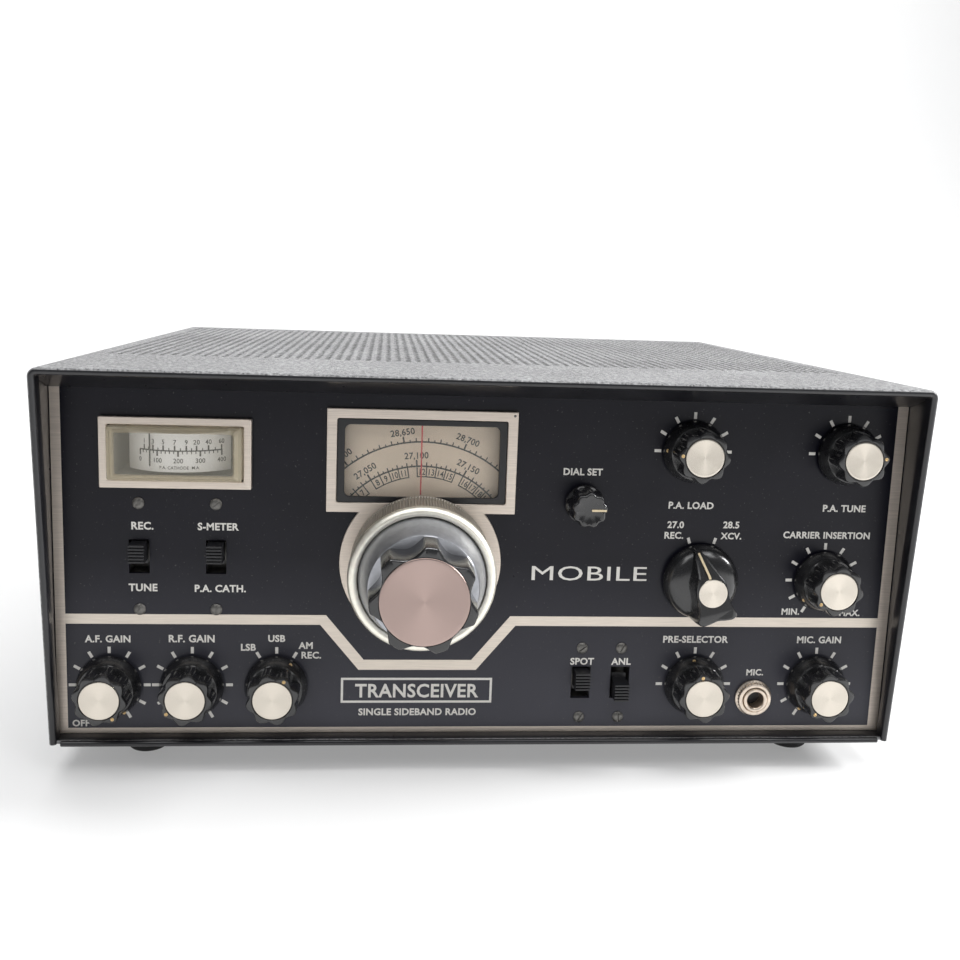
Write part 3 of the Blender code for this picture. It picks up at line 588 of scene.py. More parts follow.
def make_cover():
    """A folded, perforated sheet: pebbled paint outside, gloss inside, with a rounded hem along the front."""
    section = cover_section()
    first_col = 12
    row_y = [FIELD_FRONT + i * HOLE_PITCH_Y / 2 for i in range(2 * HOLE_ROWS + 2)]
    hem_r = HEM_T / 2
    hem = [spot(hem_r, hem_r, -hem_r, a) for a in range(90, -91, -20)]
    bm = bmesh.new()

    def point(s, depth, inset, y=None):
        """A vertex at a depth behind the front edge, or at y, and inset from the outer face."""
        x, z, nx, nz = s
        front = lip_y(z)
        return bm.verts.new((x + nx * inset, front + depth if y is None else y, z + nz * inset))

    outer_rows = [COVER_BACK, *reversed(row_y), 12.0]
    grid = []
    for s in section:
        line = [point(s, 0, 0, y) for y in outer_rows]
        line += [point(s, hem_r + 2.5, 0)]
        line += [point(s, d, t) for d, t in hem]
        line += [point(s, HEM_D, HEM_T), point(s, HEM_D + 0.5, WALL)]
        line += [point(s, 0, WALL, y) for y in reversed(outer_rows)]
        grid.append(line)
    n_rows = len(outer_rows)
    last = len(grid[0]) - 1

    def quad(k, j, mat):
        bm.faces.new((grid[k][j], grid[k + 1][j], grid[k + 1][j + 1], grid[k][j + 1])).material_index = mat

    paint_end = n_rows + 4
    field_lines = range(1, n_rows - 2)
    for k in range(len(grid) - 1):
        in_field = first_col <= k < first_col + HOLE_COLUMNS
        for j in range(last):
            mirror = last - 1 - j
            if in_field and (j in field_lines or mirror in field_lines):
                continue
            quad(k, j, 0 if j < paint_end else 1)
        bm.faces.new((grid[k][0], grid[k][last], grid[k + 1][last], grid[k + 1][0])).material_index = 0
    for k in (0, len(grid) - 1):
        for j in range(n_rows - 1):
            edge = (grid[k][j], grid[k][j + 1], grid[k][last - j - 1], grid[k][last - j])
            bm.faces.new(edge).material_index = 1
        bm.faces.new(grid[k][n_rows - 1:last - n_rows + 2]).material_index = 1

    def cell(k, j):
        """One perforated cell: j and j + 2 are its ends along the column."""
        ends = [(k, j), (k + 1, j), (k + 1, j + 1), (k + 1, j + 2), (k, j + 2), (k, j + 1)]
        cx = (section[k][0] + section[k + 1][0]) / 2
        cy = outer_rows[j + 1]
        rings = []
        for level, z in ((0, COVER_Z), (1, COVER_Z - WALL)):
            rim = [grid[a][b if level == 0 else last - b] for a, b in ends]
            hole = [bm.verts.new((*spot(cx, cy, HOLE_R, t), z))
                    for t in (135, 45, 0, -45, -135, 180, 90, -90)]
            nw, ne, e, se, sw, w, n, s = hole
            a, b, c, d, f, g = rim
            faces = ((a, b, ne, n, nw), (b, c, e, ne), (c, d, se, e), (d, f, sw, s, se), (f, g, w, sw),
                     (g, a, nw, w))
            for face in faces:
                bm.faces.new(face).material_index = level
            rings.append((n, ne, e, se, s, sw, w, nw))
        top, low = rings
        for i in range(8):
            bm.faces.new((top[i], top[(i + 1) % 8], low[(i + 1) % 8], low[i])).material_index = 0

    for col in range(HOLE_COLUMNS):
        k = first_col + col
        j = 1 + col % 2
        while j + 2 <= n_rows - 2:
            cell(k, j)
            j += 2
        for jj in ([1] if col % 2 else []) + ([n_rows - 3] if j < n_rows - 2 else []):
            quad(k, jj, 0)
            quad(k, last - 1 - jj, 1)
    obj = new_object(bm, "cover_shell", COVER, smooth=40, extra=(LIP,))
    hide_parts("cabinet_cover")
    return obj


def make_return_flange():
    """The glossy strip that slopes from the cover's front hem down and back to the panel's top edge."""
    z0 = COVER_Z - HEM_T
    y0 = LIP_TOP_Y + 2.2
    y1 = -0.7
    side = [(y0, z0 + 0.15), (y0 + 0.8, z0 - 0.15), (y1 - 0.5, FLANGE_Z + 0.15), (y1, FLANGE_Z + 0.45),
            (y1, FLANGE_Z + 1.1), (y0 + 1.6, z0 + 0.9)]
    bm = bmesh.new()
    steps = 24
    half = HALF_W - WALL - 0.15
    xs = [-half + 2 * half * i / steps for i in range(steps + 1)]
    bar(bm, side, xs)
    new_object(bm, "return_flange", LIP, smooth=25)


make_cover()
make_return_flange()


# ---------------------------------------------------------------- bottom pan and feet
def make_pan():
    """Bottom tray: its middle is pressed down, and its front edge is rolled."""
    half = PANEL_HALF
    front = LIP_BOTTOM_Y + 1.1
    back = COVER_BACK - 0.6
    bm = bmesh.new()
    levels = ((0.0, 1.25), (0.0, 0.1), (5.2, 0.0), (6.6, -1.05))
    outlines = []
    for inset, z in levels:
        plan = rounded_box(inset - half, half - inset, front + inset, back - inset, 1.2 + inset * 0.4, 5)
        outlines.append([(x, y, z) for x, y in plan])
    rings_solid(bm, outlines)
    obj = new_object(bm, "bottom_tray", COVER, smooth=40, bevel=0.25)
    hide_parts("bottom_pan")
    bm = bmesh.new()
    r = 1.1
    ring_half = half - 2.6
    roll = [spot(LIP_BOTTOM_Y + r, 0.15, r, t) for t in range(0, 360, 20)]
    middle = [-ring_half + ring_half * 2 * i / 20 for i in range(1, 20)]
    bar(bm, roll, [-ring_half, -ring_half + 0.5, *middle, ring_half - 0.5, ring_half])
    new_object(bm, "tray_front_roll", LIP, smooth=40, bevel=0.3)
    bm = bmesh.new()
    side = [(LIP_BOTTOM_Y + 1.4, 0.9), (LIP_BOTTOM_Y + 1.9, 1.35), (-0.6, 1.75), (-0.35, 1.45), (-0.6, 1.25)]
    bar(bm, side, (-half + 0.4, 0.0, half - 0.4))
    new_object(bm, "tray_front_flange", LIP, smooth=30)


FEET = {
    "foot_front_left": (-134.0, 19.5),
    "foot_front_right": (134.0, 19.5),
    "foot_rear_left": (-134.0, 236.0),
    "foot_rear_right": (134.0, 236.0),
}


def make_foot(name, x, y):
    """Turned rubber foot with a recess for its screw."""
    profile = [(9.2, -1.45), (9.2, -3.4), (9.0, -4.4), (8.3, -10.6), (7.9, -11.5), (7.4, -12.0),
               (5.6, -12.0), (4.9, -11.6), (4.4, -7.2), (3.9, -6.8)]
    bm = bmesh.new()
    turned_up(bm, x, y, profile, 48)
    foot = new_object(bm, name + "_rubber", RUBBER, smooth=40)
    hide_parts(name)
    bm = bmesh.new()
    turned_up(bm, x, y, ((3.7, -6.9), (3.7, -7.6), (3.1, -8.3), (1.6, -8.6)), 24)
    screw = new_object(bm, name + "_screw", STEEL, smooth=40)
    cut(screw, lambda b: box(b, x - 4.0, x + 4.0, y - 0.4, y + 0.4, -9.4, -7.9))


make_pan()
for foot_name, (foot_x, foot_y) in FEET.items():
    make_foot(foot_name, foot_x, foot_y)


# ---------------------------------------------------------------- front panel and its print
def paint(node, mat):
    """Give a CAD node that stays in view a better material."""
    obj = NODES[node]
    obj.data.materials.clear()
    obj.data.materials.append(mat)


BAR_LOW, BAR_HIGH = 27.5, 31.6
TRIM_LOW, TRIM_HIGH = 45.7, 49.6


def make_trims():
    """Bare champagne strips of the panel: its left, right and bottom borders and the stepped line."""
    left, right = -159.8, 159.3
    bottom, inner, top = 1.7, 3.9, 142.8
    plate = on_panel(0.0, 0.0)
    bm = bmesh.new()
    add_print(bm, [(-PANEL_HALF, bottom), (PANEL_HALF, bottom), (right, inner), (left, inner)], plate)
    add_print(bm, [(-PANEL_HALF, bottom), (left, inner), (left, top), (-PANEL_HALF, top)], plate)
    add_print(bm, [(PANEL_HALF, bottom), (PANEL_HALF, top), (right, top), (right, inner)], plate)
    new_object(bm, "panel_borders", CHAMPAGNE)
    top = [(left, TRIM_HIGH), (-62.1, TRIM_HIGH), (-47.35, BAR_HIGH), (-5.25, BAR_HIGH), (9.5, TRIM_HIGH),
           (right, TRIM_HIGH)]
    low = [(left, TRIM_LOW), (-64.3, TRIM_LOW), (-49.3, BAR_LOW), (-3.3, BAR_LOW), (11.7, TRIM_LOW),
           (right, TRIM_LOW)]
    bm = bmesh.new()
    for i in range(5):
        add_print(bm, [low[i], low[i + 1], top[i + 1], top[i]], plate)
    new_object(bm, "panel_trim_line", TRIM)


TICK_R = 14.0
TICK_L = 2.6
TICK_W = 1.15
POT_TICKS = range(-60, 241, 30)
BAND_TICKS = (72, 108)
BAND_TICK_R0, BAND_TICK_R1 = 15.6, 18.0
TICKS = {
    "af_gain": POT_TICKS,
    "rf_gain": POT_TICKS,
    "mode": (60, 90, 120),
    "pa_load": range(0, 181, 30),
    "pa_tune": range(0, 181, 30),
    "carrier": range(0, 241, 30),
    "preselector": range(0, 181, 30),
    "mic_gain": POT_TICKS,
}
LEGENDS = (
    ("A.F. GAIN", -144.2, 39.8, 2.75),
    ("R.F. GAIN", -113.0, 40.0, 2.9),
    ("LSB", -91.7, 36.6, 2.7),
    ("USB", -80.9, 40.2, 2.7),
    ("AM", -69.6, 37.4, 2.7),
    ("REC.", -67.6, 33.5, 2.7),
    ("OFF", -155.0, 5.9, 2.6),
    ("REC.", -130.9, 84.2, 2.9),
    ("S-METER", -103.0, 84.2, 2.8),
    ("TUNE", -130.9, 60.2, 2.9),
    ("P.A. CATH.", -102.2, 60.0, 2.8),
    ("DIAL SET", 35.4, 107.8, 2.7),
    ("P.A. LOAD", 78.9, 95.2, 2.75),
    ("P.A. TUNE", 141.0, 94.9, 2.75),
    ("27.0", 73.3, 87.4, 2.7),
    ("REC.", 72.8, 83.1, 2.7),
    ("28.5", 95.7, 87.6, 2.7),
    ("XCV.", 96.0, 83.1, 2.6),
    ("CARRIER INSERTION", 134.9, 83.9, 2.7),
    ("MIN.", 122.6, 52.3, 2.6),
    ("MAX.", 147.2, 51.9, 2.6),
    ("PRE-SELECTOR", 84.4, 40.5, 2.8),
    ("MIC. GAIN", 135.6, 40.5, 2.8),
    ("MIC.", 109.9, 26.7, 2.6),
    ("SPOT", 39.0, 31.2, 2.8),
    ("ANL", 54.8, 31.2, 2.8),
)
NAME_TEXT = "TRANSCEIVER"
UNDER_TEXT = "SINGLE SIDEBAND RADIO"
SIDE_TEXT = "MOBILE"
BOX_X0, BOX_X1, BOX_Z0, BOX_Z1 = -56.0, 3.35, 13.9, 24.2
BOX_LINE = 0.9


def make_print():
    """White print: position ticks round the controls, legends and the name box."""
    bm = bmesh.new()
    for name, angles in TICKS.items():
        x, z, _ = KNOBS[name]
        for deg in angles:
            add_tick(bm, x, z, 0.0, deg, TICK_R - TICK_L / 2, TICK_R + TICK_L / 2, TICK_W)
    for deg in BAND_TICKS:
        add_tick(bm, BAND_X, BAND_Z, 0.0, deg, BAND_TICK_R0, BAND_TICK_R1, TICK_W)
    new_object(bm, "position_ticks", LEGEND)
    bm = bmesh.new()
    for body, x, z, height in LEGENDS:
        add_text(bm, body, height, on_panel(x, z))
    new_object(bm, "panel_legends", LEGEND)
    bm = bmesh.new()
    plate = on_panel(0.0, 0.0)
    outer = [(BOX_X0, BOX_Z0), (BOX_X1, BOX_Z0), (BOX_X1, BOX_Z1), (BOX_X0, BOX_Z1)]
    x0, x1, z0, z1 = BOX_X0 + BOX_LINE, BOX_X1 - BOX_LINE, BOX_Z0 + BOX_LINE, BOX_Z1 - BOX_LINE
    inner = [(x0, z0), (x1, z0), (x1, z1), (x0, z1)]
    for i in range(4):
        j = (i + 1) % 4
        add_print(bm, [outer[i], outer[j], inner[j], inner[i]], plate)
    middle = (BOX_X0 + BOX_X1) / 2
    add_text(bm, NAME_TEXT, 5.6, on_panel(middle, (BOX_Z0 + BOX_Z1) / 2), 0.96, 0.022)
    add_text(bm, UNDER_TEXT, 2.8, on_panel(middle + 0.5, 10.2), 1.0)
    add_text(bm, SIDE_TEXT, 6.0, on_panel(39.8, 67.4), 1.62, 0.0)
    new_object(bm, "name_box_print", LEGEND)


def make_panel_screw(name, x, z, turn):
    """Slotted oval-head screw facing the front, its slot turned by that angle."""
    y, r = -0.05, 2.25
    bm = bmesh.new()
    head = [(r * 0.98, y), (r, y - 0.25), (r * 0.86, y - 0.62), (r * 0.6, y - 0.88), (r * 0.3, y - 1.0)]
    lathe(bm, x, z, head, 32)
    screw = new_object(bm, name, DARKSTEEL, smooth=40)
    c, s = math.cos(math.radians(turn)), math.sin(math.radians(turn))
    length, half = r * 1.2, 0.32
    ring = [(x + u * c - v * s, z + u * s + v * c)
            for u, v in ((-length, -half), (length, -half), (length, half), (-length, half))]
    cut(screw, lambda b: prism(b, ring, y - 2.0, y - 0.45))


def make_panel_screws():
    """A screw above and below each slide switch; those of the upper two stand further apart."""
    for name, (x, z, _) in SWITCHES.items():
        reach = 20.6 if name in ("receive_tune", "meter_select") else 14.4
        for k, (side, turn) in enumerate(((1, 35), (-1, 20))):
            angle = turn + 23 * len(name) % 90 + 40 * k
            make_panel_screw(f"{name}_screw_{k + 1}", x, z + side * reach, angle)


paint("front_panel", PANEL)
make_trims()
make_print()
make_panel_screws()


# ---------------------------------------------------------------- dial
def make_escutcheon():
    """Keyhole-shaped plate: a rectangle round the dial window run into a disc behind the tuning ring."""
    w, h, disc_r = 72.0, 39.7, 31.0
    front, back = -1.9, -0.05
    low = WINDOW_Z - h / 2
    reach = math.sqrt(disc_r ** 2 - (low - TUNE_Z) ** 2)
    start = math.degrees(math.asin((low - TUNE_Z) / disc_r))
    x0, x1, top = WINDOW_X - w / 2, WINDOW_X + w / 2, WINDOW_Z + h / 2
    round_part = arc(TUNE_X, TUNE_Z, disc_r, 180 - start, 360 + start, 72)
    bm = bmesh.new()
    prism(bm, [(x0, low), *round_part, (x1, low), (x1, top), (x0, top)], front, back)
    plate = new_object(bm, "dial_plate", CHAMPAGNE, bevel=0.35)

    def openings(b):
        prism(b, rounded(WINDOW_X, WINDOW_Z, 64.4, 32.2, 0.8), -4.0, 2.0)
        lathe(b, TUNE_X, TUNE_Z, [(6.0, -4.0), (6.0, 2.0)], 48)

    cut(plate, openings)
    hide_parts("dial_escutcheon")
    bm = bmesh.new()
    pin = [(0.5, front + 0.05), (0.48, front - 0.08), (0.25, front - 0.18)]
    lathe(bm, WINDOW_X + 34.6, WINDOW_Z + 18.3, pin, 20)
    new_object(bm, "dial_plate_pin", DARKSTEEL, smooth=50)


def make_dial_frame():
    """Black mask in the escutcheon's opening, with the clear pane and its red hairline behind."""
    bm = bmesh.new()
    outer = rounded(WINDOW_X, WINDOW_Z, 64.0, 31.8, 0.6)
    inner = rounded(WINDOW_X, WINDOW_Z, 58.6, 27.6, 2.2)
    frame_between(bm, outer, inner, -1.45, 0.0)
    obj = new_object(bm, "dial_mask", DARK, bevel=0.22)
    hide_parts("dial_inner_frame")
    bm = bmesh.new()
    prism(bm, rounded(WINDOW_X, WINDOW_Z, 60.2, 29.2, 2.4), 0.1, 1.5)
    pane = new_object(bm, "dial_pane", PANE, bevel=0.2)
    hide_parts("dial_window")
    bm = bmesh.new()
    prism(bm, rounded(-26.9, 111.0, 0.55, 27.5, 0.2, 2), 1.52, 1.62)
    new_object(bm, "hairline", RED)


DIAL_Y = 5.0
UPPER_R, LOWER_R = 46.1, 36.6
UPPER_FIRST, LOWER_FIRST = 128.3, 122.6
STEP_50 = 29.2
BOX_LOW_R = 32.5
# First channel, start angle, number of boxes and angle of each box.
CHANNEL_GROUPS = (
    (7, 134.4, 1, 6.0),
    (8, 122.7, 4, 5.9),
    (12, 93.3, 4, 5.95),
    (16, 64.3, 4, 5.7),
    (20, 37.5, 4, 5.9),
)


def make_dial():
    """Cream disc with two printed frequency scales and numbered channel boxes."""
    bm = bmesh.new()
    profile = [(3.6, DIAL_Y + 0.05), (59.6, DIAL_Y), (60.0, DIAL_Y + 0.3), (60.0, 5.9), (59.6, 6.2),
               (10.0, 6.2), (9.4, 6.5), (9.0, 9.3), (8.6, 9.5), (3.6, 9.5)]
    lathe(bm, TUNE_X, TUNE_Z, profile, 160, closed=True)
    disc = new_object(bm, "dial_plate_disc", CREAM, "fast_tuning", smooth=40)
    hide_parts("dial_disc")
    bm = bmesh.new()
    face = DIAL_Y - 0.02
    ink = (bm, TUNE_X, TUNE_Z, face)
    for r, first, base in ((UPPER_R, UPPER_FIRST, 28600), (LOWER_R, LOWER_FIRST, 27050)):
        add_arc_line(*ink, r, 0.6, -95, 275, 150)
        for k in range(-int((275 - first) / (STEP_50 / 10)), int((first + 90) / (STEP_50 / 10))):
            deg = first - k * STEP_50 / 10
            tall = 2.5 if k % 10 == 0 else (1.55 if k % 2 == 0 else 0.9)
            add_tick(*ink, deg, r, r + tall, 0.64 if k % 10 == 0 else 0.44)
        for k in range(-4, 7):
            deg = first - k * STEP_50
            x, z = spot(TUNE_X, TUNE_Z, r + 4.25, deg)
            value = base + 50 * k
            label = f"{value // 1000},{value % 1000:03d}"
            add_text(bm, label, 2.55, on_panel(x, z, face, deg - 90), 0.94, 0.02)
    for number, start, count, width in CHANNEL_GROUPS:
        end = start - count * width
        add_arc_line(*ink, BOX_LOW_R, 0.42, end, start, 12)
        for k in range(count + 1):
            add_tick(*ink, start - k * width, BOX_LOW_R - 0.2, LOWER_R, 0.42)
        for k in range(count):
            deg = start - (k + 0.5) * width
            x, z = spot(TUNE_X, TUNE_Z, (BOX_LOW_R + LOWER_R) / 2 - 0.05, deg)
            add_text(bm, str(number + k), 2.5, on_panel(x, z, face, deg - 90), 0.78, 0.016)
    new_object(bm, "dial_print", INK, "fast_tuning")


make_escutcheon()
make_dial_frame()
make_dial()


# ---------------------------------------------------------------- signal meter
def make_meter():
    """Champagne frame with a clear hollow cover that stands out of it, amber round its rim."""
    bm = bmesh.new()
    outer = rounded(METER_X, METER_Z, 55.5, 26.7, 0.5)
    inner = rounded(METER_X, METER_Z, 49.6, 20.8, 0.5)
    frame_between(bm, outer, inner, -2.7, -0.05)
    bezel = new_object(bm, "meter_frame", CHAMPAGNE, bevel=0.4)
    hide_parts("meter_bezel")
    bm = bmesh.new()
    outside = ((49.0, 20.2, -0.3, 0.8), (49.0, 20.2, -4.2, 0.8), (48.4, 19.6, -4.75, 1.0),
               (46.4, 18.4, -5.1, 1.2), (45.0, 17.4, -6.0, 1.4), (44.2, 16.7, -6.4, 1.5))
    inside = ((42.6, 15.4, -5.3, 1.0), (43.4, 16.2, -4.6, 1.0), (46.6, 18.2, -3.9, 0.7),
              (46.8, 18.4, -0.3, 0.7))
    loops = []
    for w, h, y, r in outside + inside:
        loops.append([bm.verts.new((a, y, b)) for a, b in rounded(METER_X, METER_Z, w, h, r)])
    front = len(outside)
    join_loops(bm, loops[:front], mat=1)
    join_loops(bm, loops[front:] + loops[:1], mat=1)
    bm.faces.new(loops[front - 1])
    bm.faces.new(loops[front])
    cover = new_object(bm, "meter_lens", CLEAR, smooth=30, extra=(AMBER,))
    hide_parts("meter_cover")


def on_scale(deg, z):
    """A placing function for print on the curved meter scale, centred at that angle and height."""
    def place(u, v, w):
        a = math.radians(deg) + u / METER_R
        r = METER_R + 0.03 + w * 0.04
        return METER_X + r * math.sin(a), METER_PIVOT_Y - r * math.cos(a), z + v
    return place


def add_mark(bm, half, low, high, deg, z):
    """A printed upright mark on the meter scale, from low to high about z."""
    add_print(bm, [(-half, low), (half, low), (half, high), (-half, high)], on_scale(deg, z))


def make_meter_scale():
    """White card bent round the pivot, with its printed scales."""
    bm = bmesh.new()
    steps = 48
    swing = 49.0
    loops = []
    for r, z in ((METER_R, -7.3), (METER_R, 7.3), (METER_R - 0.5, 7.3), (METER_R - 0.5, -7.3)):
        bend = arc(METER_X, METER_PIVOT_Y, r, -90 - swing, swing - 90, steps)
        loops.append([bm.verts.new((x, y, METER_Z + z)) for x, y in bend])
    for a, b in zip(loops, loops[1:] + loops[:1]):
        for i in range(steps):
            bm.faces.new((a[i], a[i + 1], b[i + 1], b[i]))
    for i in (0, steps):
        bm.faces.new([loop[i] for loop in loops])
    card = new_object(bm, "meter_card", CARD, smooth=40)
    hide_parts("meter_scale")
    bm = bmesh.new()
    line_z = METER_Z + 0.75
    start, sweep, pieces = -33.4, 72.8, 36
    for i in range(pieces):
        half = math.radians(sweep / pieces) / 2 * METER_R
        add_mark(bm, half, -0.24, 0.24, start + sweep * (i + 0.5) / pieces, line_z)
    upper = (("1", -28.6), ("3", -19.8), ("5", -10.5), ("7", -0.7), ("9", 8.9), ("20", 17.3), ("40", 27.4),
             ("60", 39.2))
    lower = (("0", -33.2), ("100", -15.9), ("200", 2.1), ("300", 20.4), ("400", 39.4))
    for label, deg in upper:
        add_mark(bm, 0.3, 0.0, 2.0, deg, line_z)
        add_text(bm, label, 1.8, on_scale(deg, line_z + 3.35), 0.95, 0.012)
    for (_, a), (_, b) in zip(upper, upper[1:]):
        add_mark(bm, 0.18, 0.0, 1.1, (a + b) / 2, line_z)
    for label, deg in lower:
        add_mark(bm, 0.32, -2.1, 0.0, deg, line_z)
        add_text(bm, label, 1.8, on_scale(deg, line_z - 3.65), 0.95, 0.012)
    for (_, a), (_, b) in zip(lower, lower[1:]):
        for k in range(1, 5):
            add_mark(bm, 0.18, -1.15, 0.0, a + (b - a) * k / 5, line_z)
    add_text(bm, "P.A. CATHODE  M.A.", 1.2, on_scale(3.0, line_z - 6.3), 0.95, 0.01)
    new_object(bm, "meter_print", INK)


def make_needle():
    """Counterweighted arm from the pivot pin, turned down in front of the card."""
    tip = 26.3
    bm = bmesh.new()
    box(bm, -tip, 3.4, -0.28, 0.28, 8.05, 8.55)
    box(bm, -tip, -tip + 0.42, -0.2, 0.2, -5.2, 8.3)
    turned_up(bm, 0.0, 0.0, ((0.45, -8.4), (0.95, -8.1), (0.95, 8.3), (0.5, 8.6)), 20)
    turned_up(bm, 3.2, 0.0, ((0.6, 7.7), (0.8, 7.8), (0.8, 8.55), (0.7, 8.6)), 16)
    turn = Matrix.Rotation(math.radians(90 + NEEDLE_DEG), 3, "Z")
    for v in bm.verts:
        v.co = turn @ v.co + Vector((METER_X, METER_PIVOT_Y, METER_Z))
    needle = new_object(bm, "needle_arm", DARK, "meter_movement", smooth=40)
    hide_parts("meter_needle")


make_meter()
make_meter_scale()
make_needle()
paint("meter_case", CASE)


# ---------------------------------------------------------------- knobs
SHAFT_R = 2.9


def outline_ring(x, y, z, radii, scale=1.0, add=0.0):
    """Points of a (angle, radius) outline about (x, z) at y, scaled and then grown."""
    return [(x + (r * scale + add) * math.cos(t), y, z + (r * scale + add) * math.sin(t)) for t, r in radii]


def lobed(count, lobe_r, flute_r, start_deg, per_lobe, shape):
    """Angles and radii of a lobed outline; shape(u) falls from 1 at a lobe to 0 at a flute."""
    radii = []
    for i in range(count * per_lobe):
        u = abs((i % per_lobe) / per_lobe * 2)
        u = 2 - u if u > 1 else u
        t = math.radians(start_deg) + 2 * math.pi * i / (count * per_lobe)
        radii.append((t, flute_r + (lobe_r - flute_r) * shape(u)))
    return radii


def flat_lobe(u):
    """A lobe with a flat top and crisp shoulders, and a round flute between."""
    return 1.0 if u < 0.26 else (1 - (u - 0.26) / 0.74) ** 1.9


def soft_lobe(u):
    """A narrow rounded lobe with a wide, round flute."""
    return (0.5 + 0.5 * math.cos(math.pi * u)) ** 0.85


def fluted_solid(bm, x, z, grip, base, sides, face):
    """Skin over circles (r, y), then the grip's outline at (y, scale, grown by), then circles (r, y)."""
    plain = [(t, 1.0) for t, _ in grip]
    rings = [outline_ring(x, y, z, plain, r) for r, y in base]
    rings += [outline_ring(x, y, z, grip, k, add) for y, k, add in sides]
    rings += [outline_ring(x, y, z, plain, r) for r, y in face]
    rings_solid(bm, rings)


def make_cap(name, x, z, r, front, body, mat, dish):
    """Spun metal cap set in a knob's face, with a small chamfer round it."""
    bm = bmesh.new()
    profile = [(r, front + 0.9), (r, front + 0.22), (r - 0.12, front + 0.06), (r - 0.34, front)]
    inner = [(r * k, front + dish * (1 - k * k)) for k in (0.9, 0.75, 0.6, 0.45, 0.3, 0.15)]
    lathe(bm, x, z, profile + inner, 96)
    new_object(bm, name, mat, body, smooth=30)


def add_dot(name, x, z, y, r, body):
    """Index dot: a brass eyelet with a dark middle."""
    bm = bmesh.new()
    turns = [math.radians(t) for t in range(0, 360, 30)]
    lathe(bm, x, z, [(r + 0.24 * math.cos(t), y + 0.2 * math.sin(t)) for t in turns], 24, closed=True)
    lathe(bm, x, z, [(r * 0.9, y + 0.12), (r * 0.86, y - 0.04)], 20)
    new_object(bm, name, BRASS, body, smooth=50)


def make_fluted_knob(name, x, z, deg):
    """Skirted knob with eight soft lobes, a spun cap and two index dots in its pointing direction."""
    body = name + "_shaft"
    grip = lobed(8, 10.15, 8.7, deg, 14, soft_lobe)
    skirt = ((SHAFT_R, 10.6), (SHAFT_R, -1.0), (11.6, -1.0), (12.05, -1.15), (12.2, -1.5), (12.15, -2.1),
             (11.85, -3.1), (11.4, -4.2), (10.95, -5.2), (10.5, -6.1), (10.25, -6.5))
    sides = ((-6.6, 1.0, 0.0), (-8.0, 1.0, 0.0), (-13.6, 1.0, 0.0), (-14.4, 1.0, -0.08), (-14.85, 1.0, -0.4),
             (-15.0, 1.0, -0.85))
    bm = bmesh.new()
    fluted_solid(bm, x, z, grip, skirt, sides, ((7.8, -14.95), (7.5, -14.55)))
    knob = new_object(bm, name + "_grip", BLACK, body, smooth=36)
    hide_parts(name + "_knob")
    make_cap(name + "_cap", x, z, 7.35, -15.0, body, SPUN, 0.12)
    add_dot(name + "_face_dot", *spot(x, z, 8.55, deg), -15.0, 0.45, body)
    add_dot(name + "_skirt_dot", *spot(x, z, 11.25, deg), -4.3, 0.45, body)


def make_tuning_ring():
    """Fast tuning ring: a knurled champagne drum with a bright rolled rim, on a hub behind the panel."""
    body = "fast_tuning"
    rows = [(5.2, 4.6, 0), (5.2, -3.0, 0), (26.2, -3.0, 0), (26.75, -3.3, 0), (26.8, -4.2, 0),
            (26.75, -4.6, 1), (26.75, -19.9, 1), (26.8, -20.2, 0), (26.8, -20.6, 0),
            (25.2, -20.7, 0), (23.7, -20.7, 0),
            (23.7, -9.0, 0), (3.4, -9.0, 0), (3.4, 4.6, 0)]
    bm = bmesh.new()
    knurled(bm, TUNE_X, TUNE_Z, rows, 150, 0.5)
    drum = new_object(bm, "tuning_drum", KNURL, body, smooth=30)
    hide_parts("fast_tuning_ring")
    rim = [(26.6, -20.65), (27.0, -20.9), (27.25, -21.5), (27.2, -22.3), (26.9, -23.1), (26.4, -23.7),
           (25.8, -24.1), (25.2, -24.25), (24.6, -24.15), (24.1, -23.85), (23.75, -23.4),
           (23.55, -22.7), (23.5, -20.65)]
    bm = bmesh.new()
    lathe(bm, TUNE_X, TUNE_Z, rim, 160, closed=True)
    new_object(bm, "tuning_rim", RIM, body, smooth=50)


def make_fine_knob():
    """Fine tuning knob: glossy coned skirt, seven flat-topped lobes and a pinkish spun cap."""
    body = "fine_tuning"
    grip_y = -35.0
    grip = lobed(7, 19.5, 16.2, 84.0, 28, flat_lobe)
    skirt = ((SHAFT_R, 29.5), (SHAFT_R, -10.2), (22.8, -10.2), (23.3, -10.6), (23.4, -11.4), (23.4, -22.4),
             (23.3, -23.2), (22.6, -25.4), (21.7, -28.3), (20.9, -31.0), (20.2, -33.3),
             (19.9, -34.3), (19.6, -34.9))
    sides = ((grip_y, 1.0, 0.0), (-36.0, 1.0, 0.0), (-41.0, 1.0, -0.2), (-46.6, 1.0, -0.45),
             (-47.3, 1.0, -0.55), (-47.8, 1.0, -0.85), (-48.05, 1.0, -1.35))
    bm = bmesh.new()
    fluted_solid(bm, TUNE_X, TUNE_Z, grip, skirt, sides, ((15.75, -48.0), (15.6, -47.5)))
    for face in bm.faces:
        if all(v.co.y > grip_y - 0.01 for v in face.verts):
            face.material_index = 1
    knob = new_object(bm, "tuning_grip", BLACK, body, smooth=28, extra=(SKIRT,))
    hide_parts("fine_tuning_knob")
    make_cap("tuning_cap", TUNE_X, TUNE_Z, 15.5, -48.35, body, SPUN_PINK, 0.25)


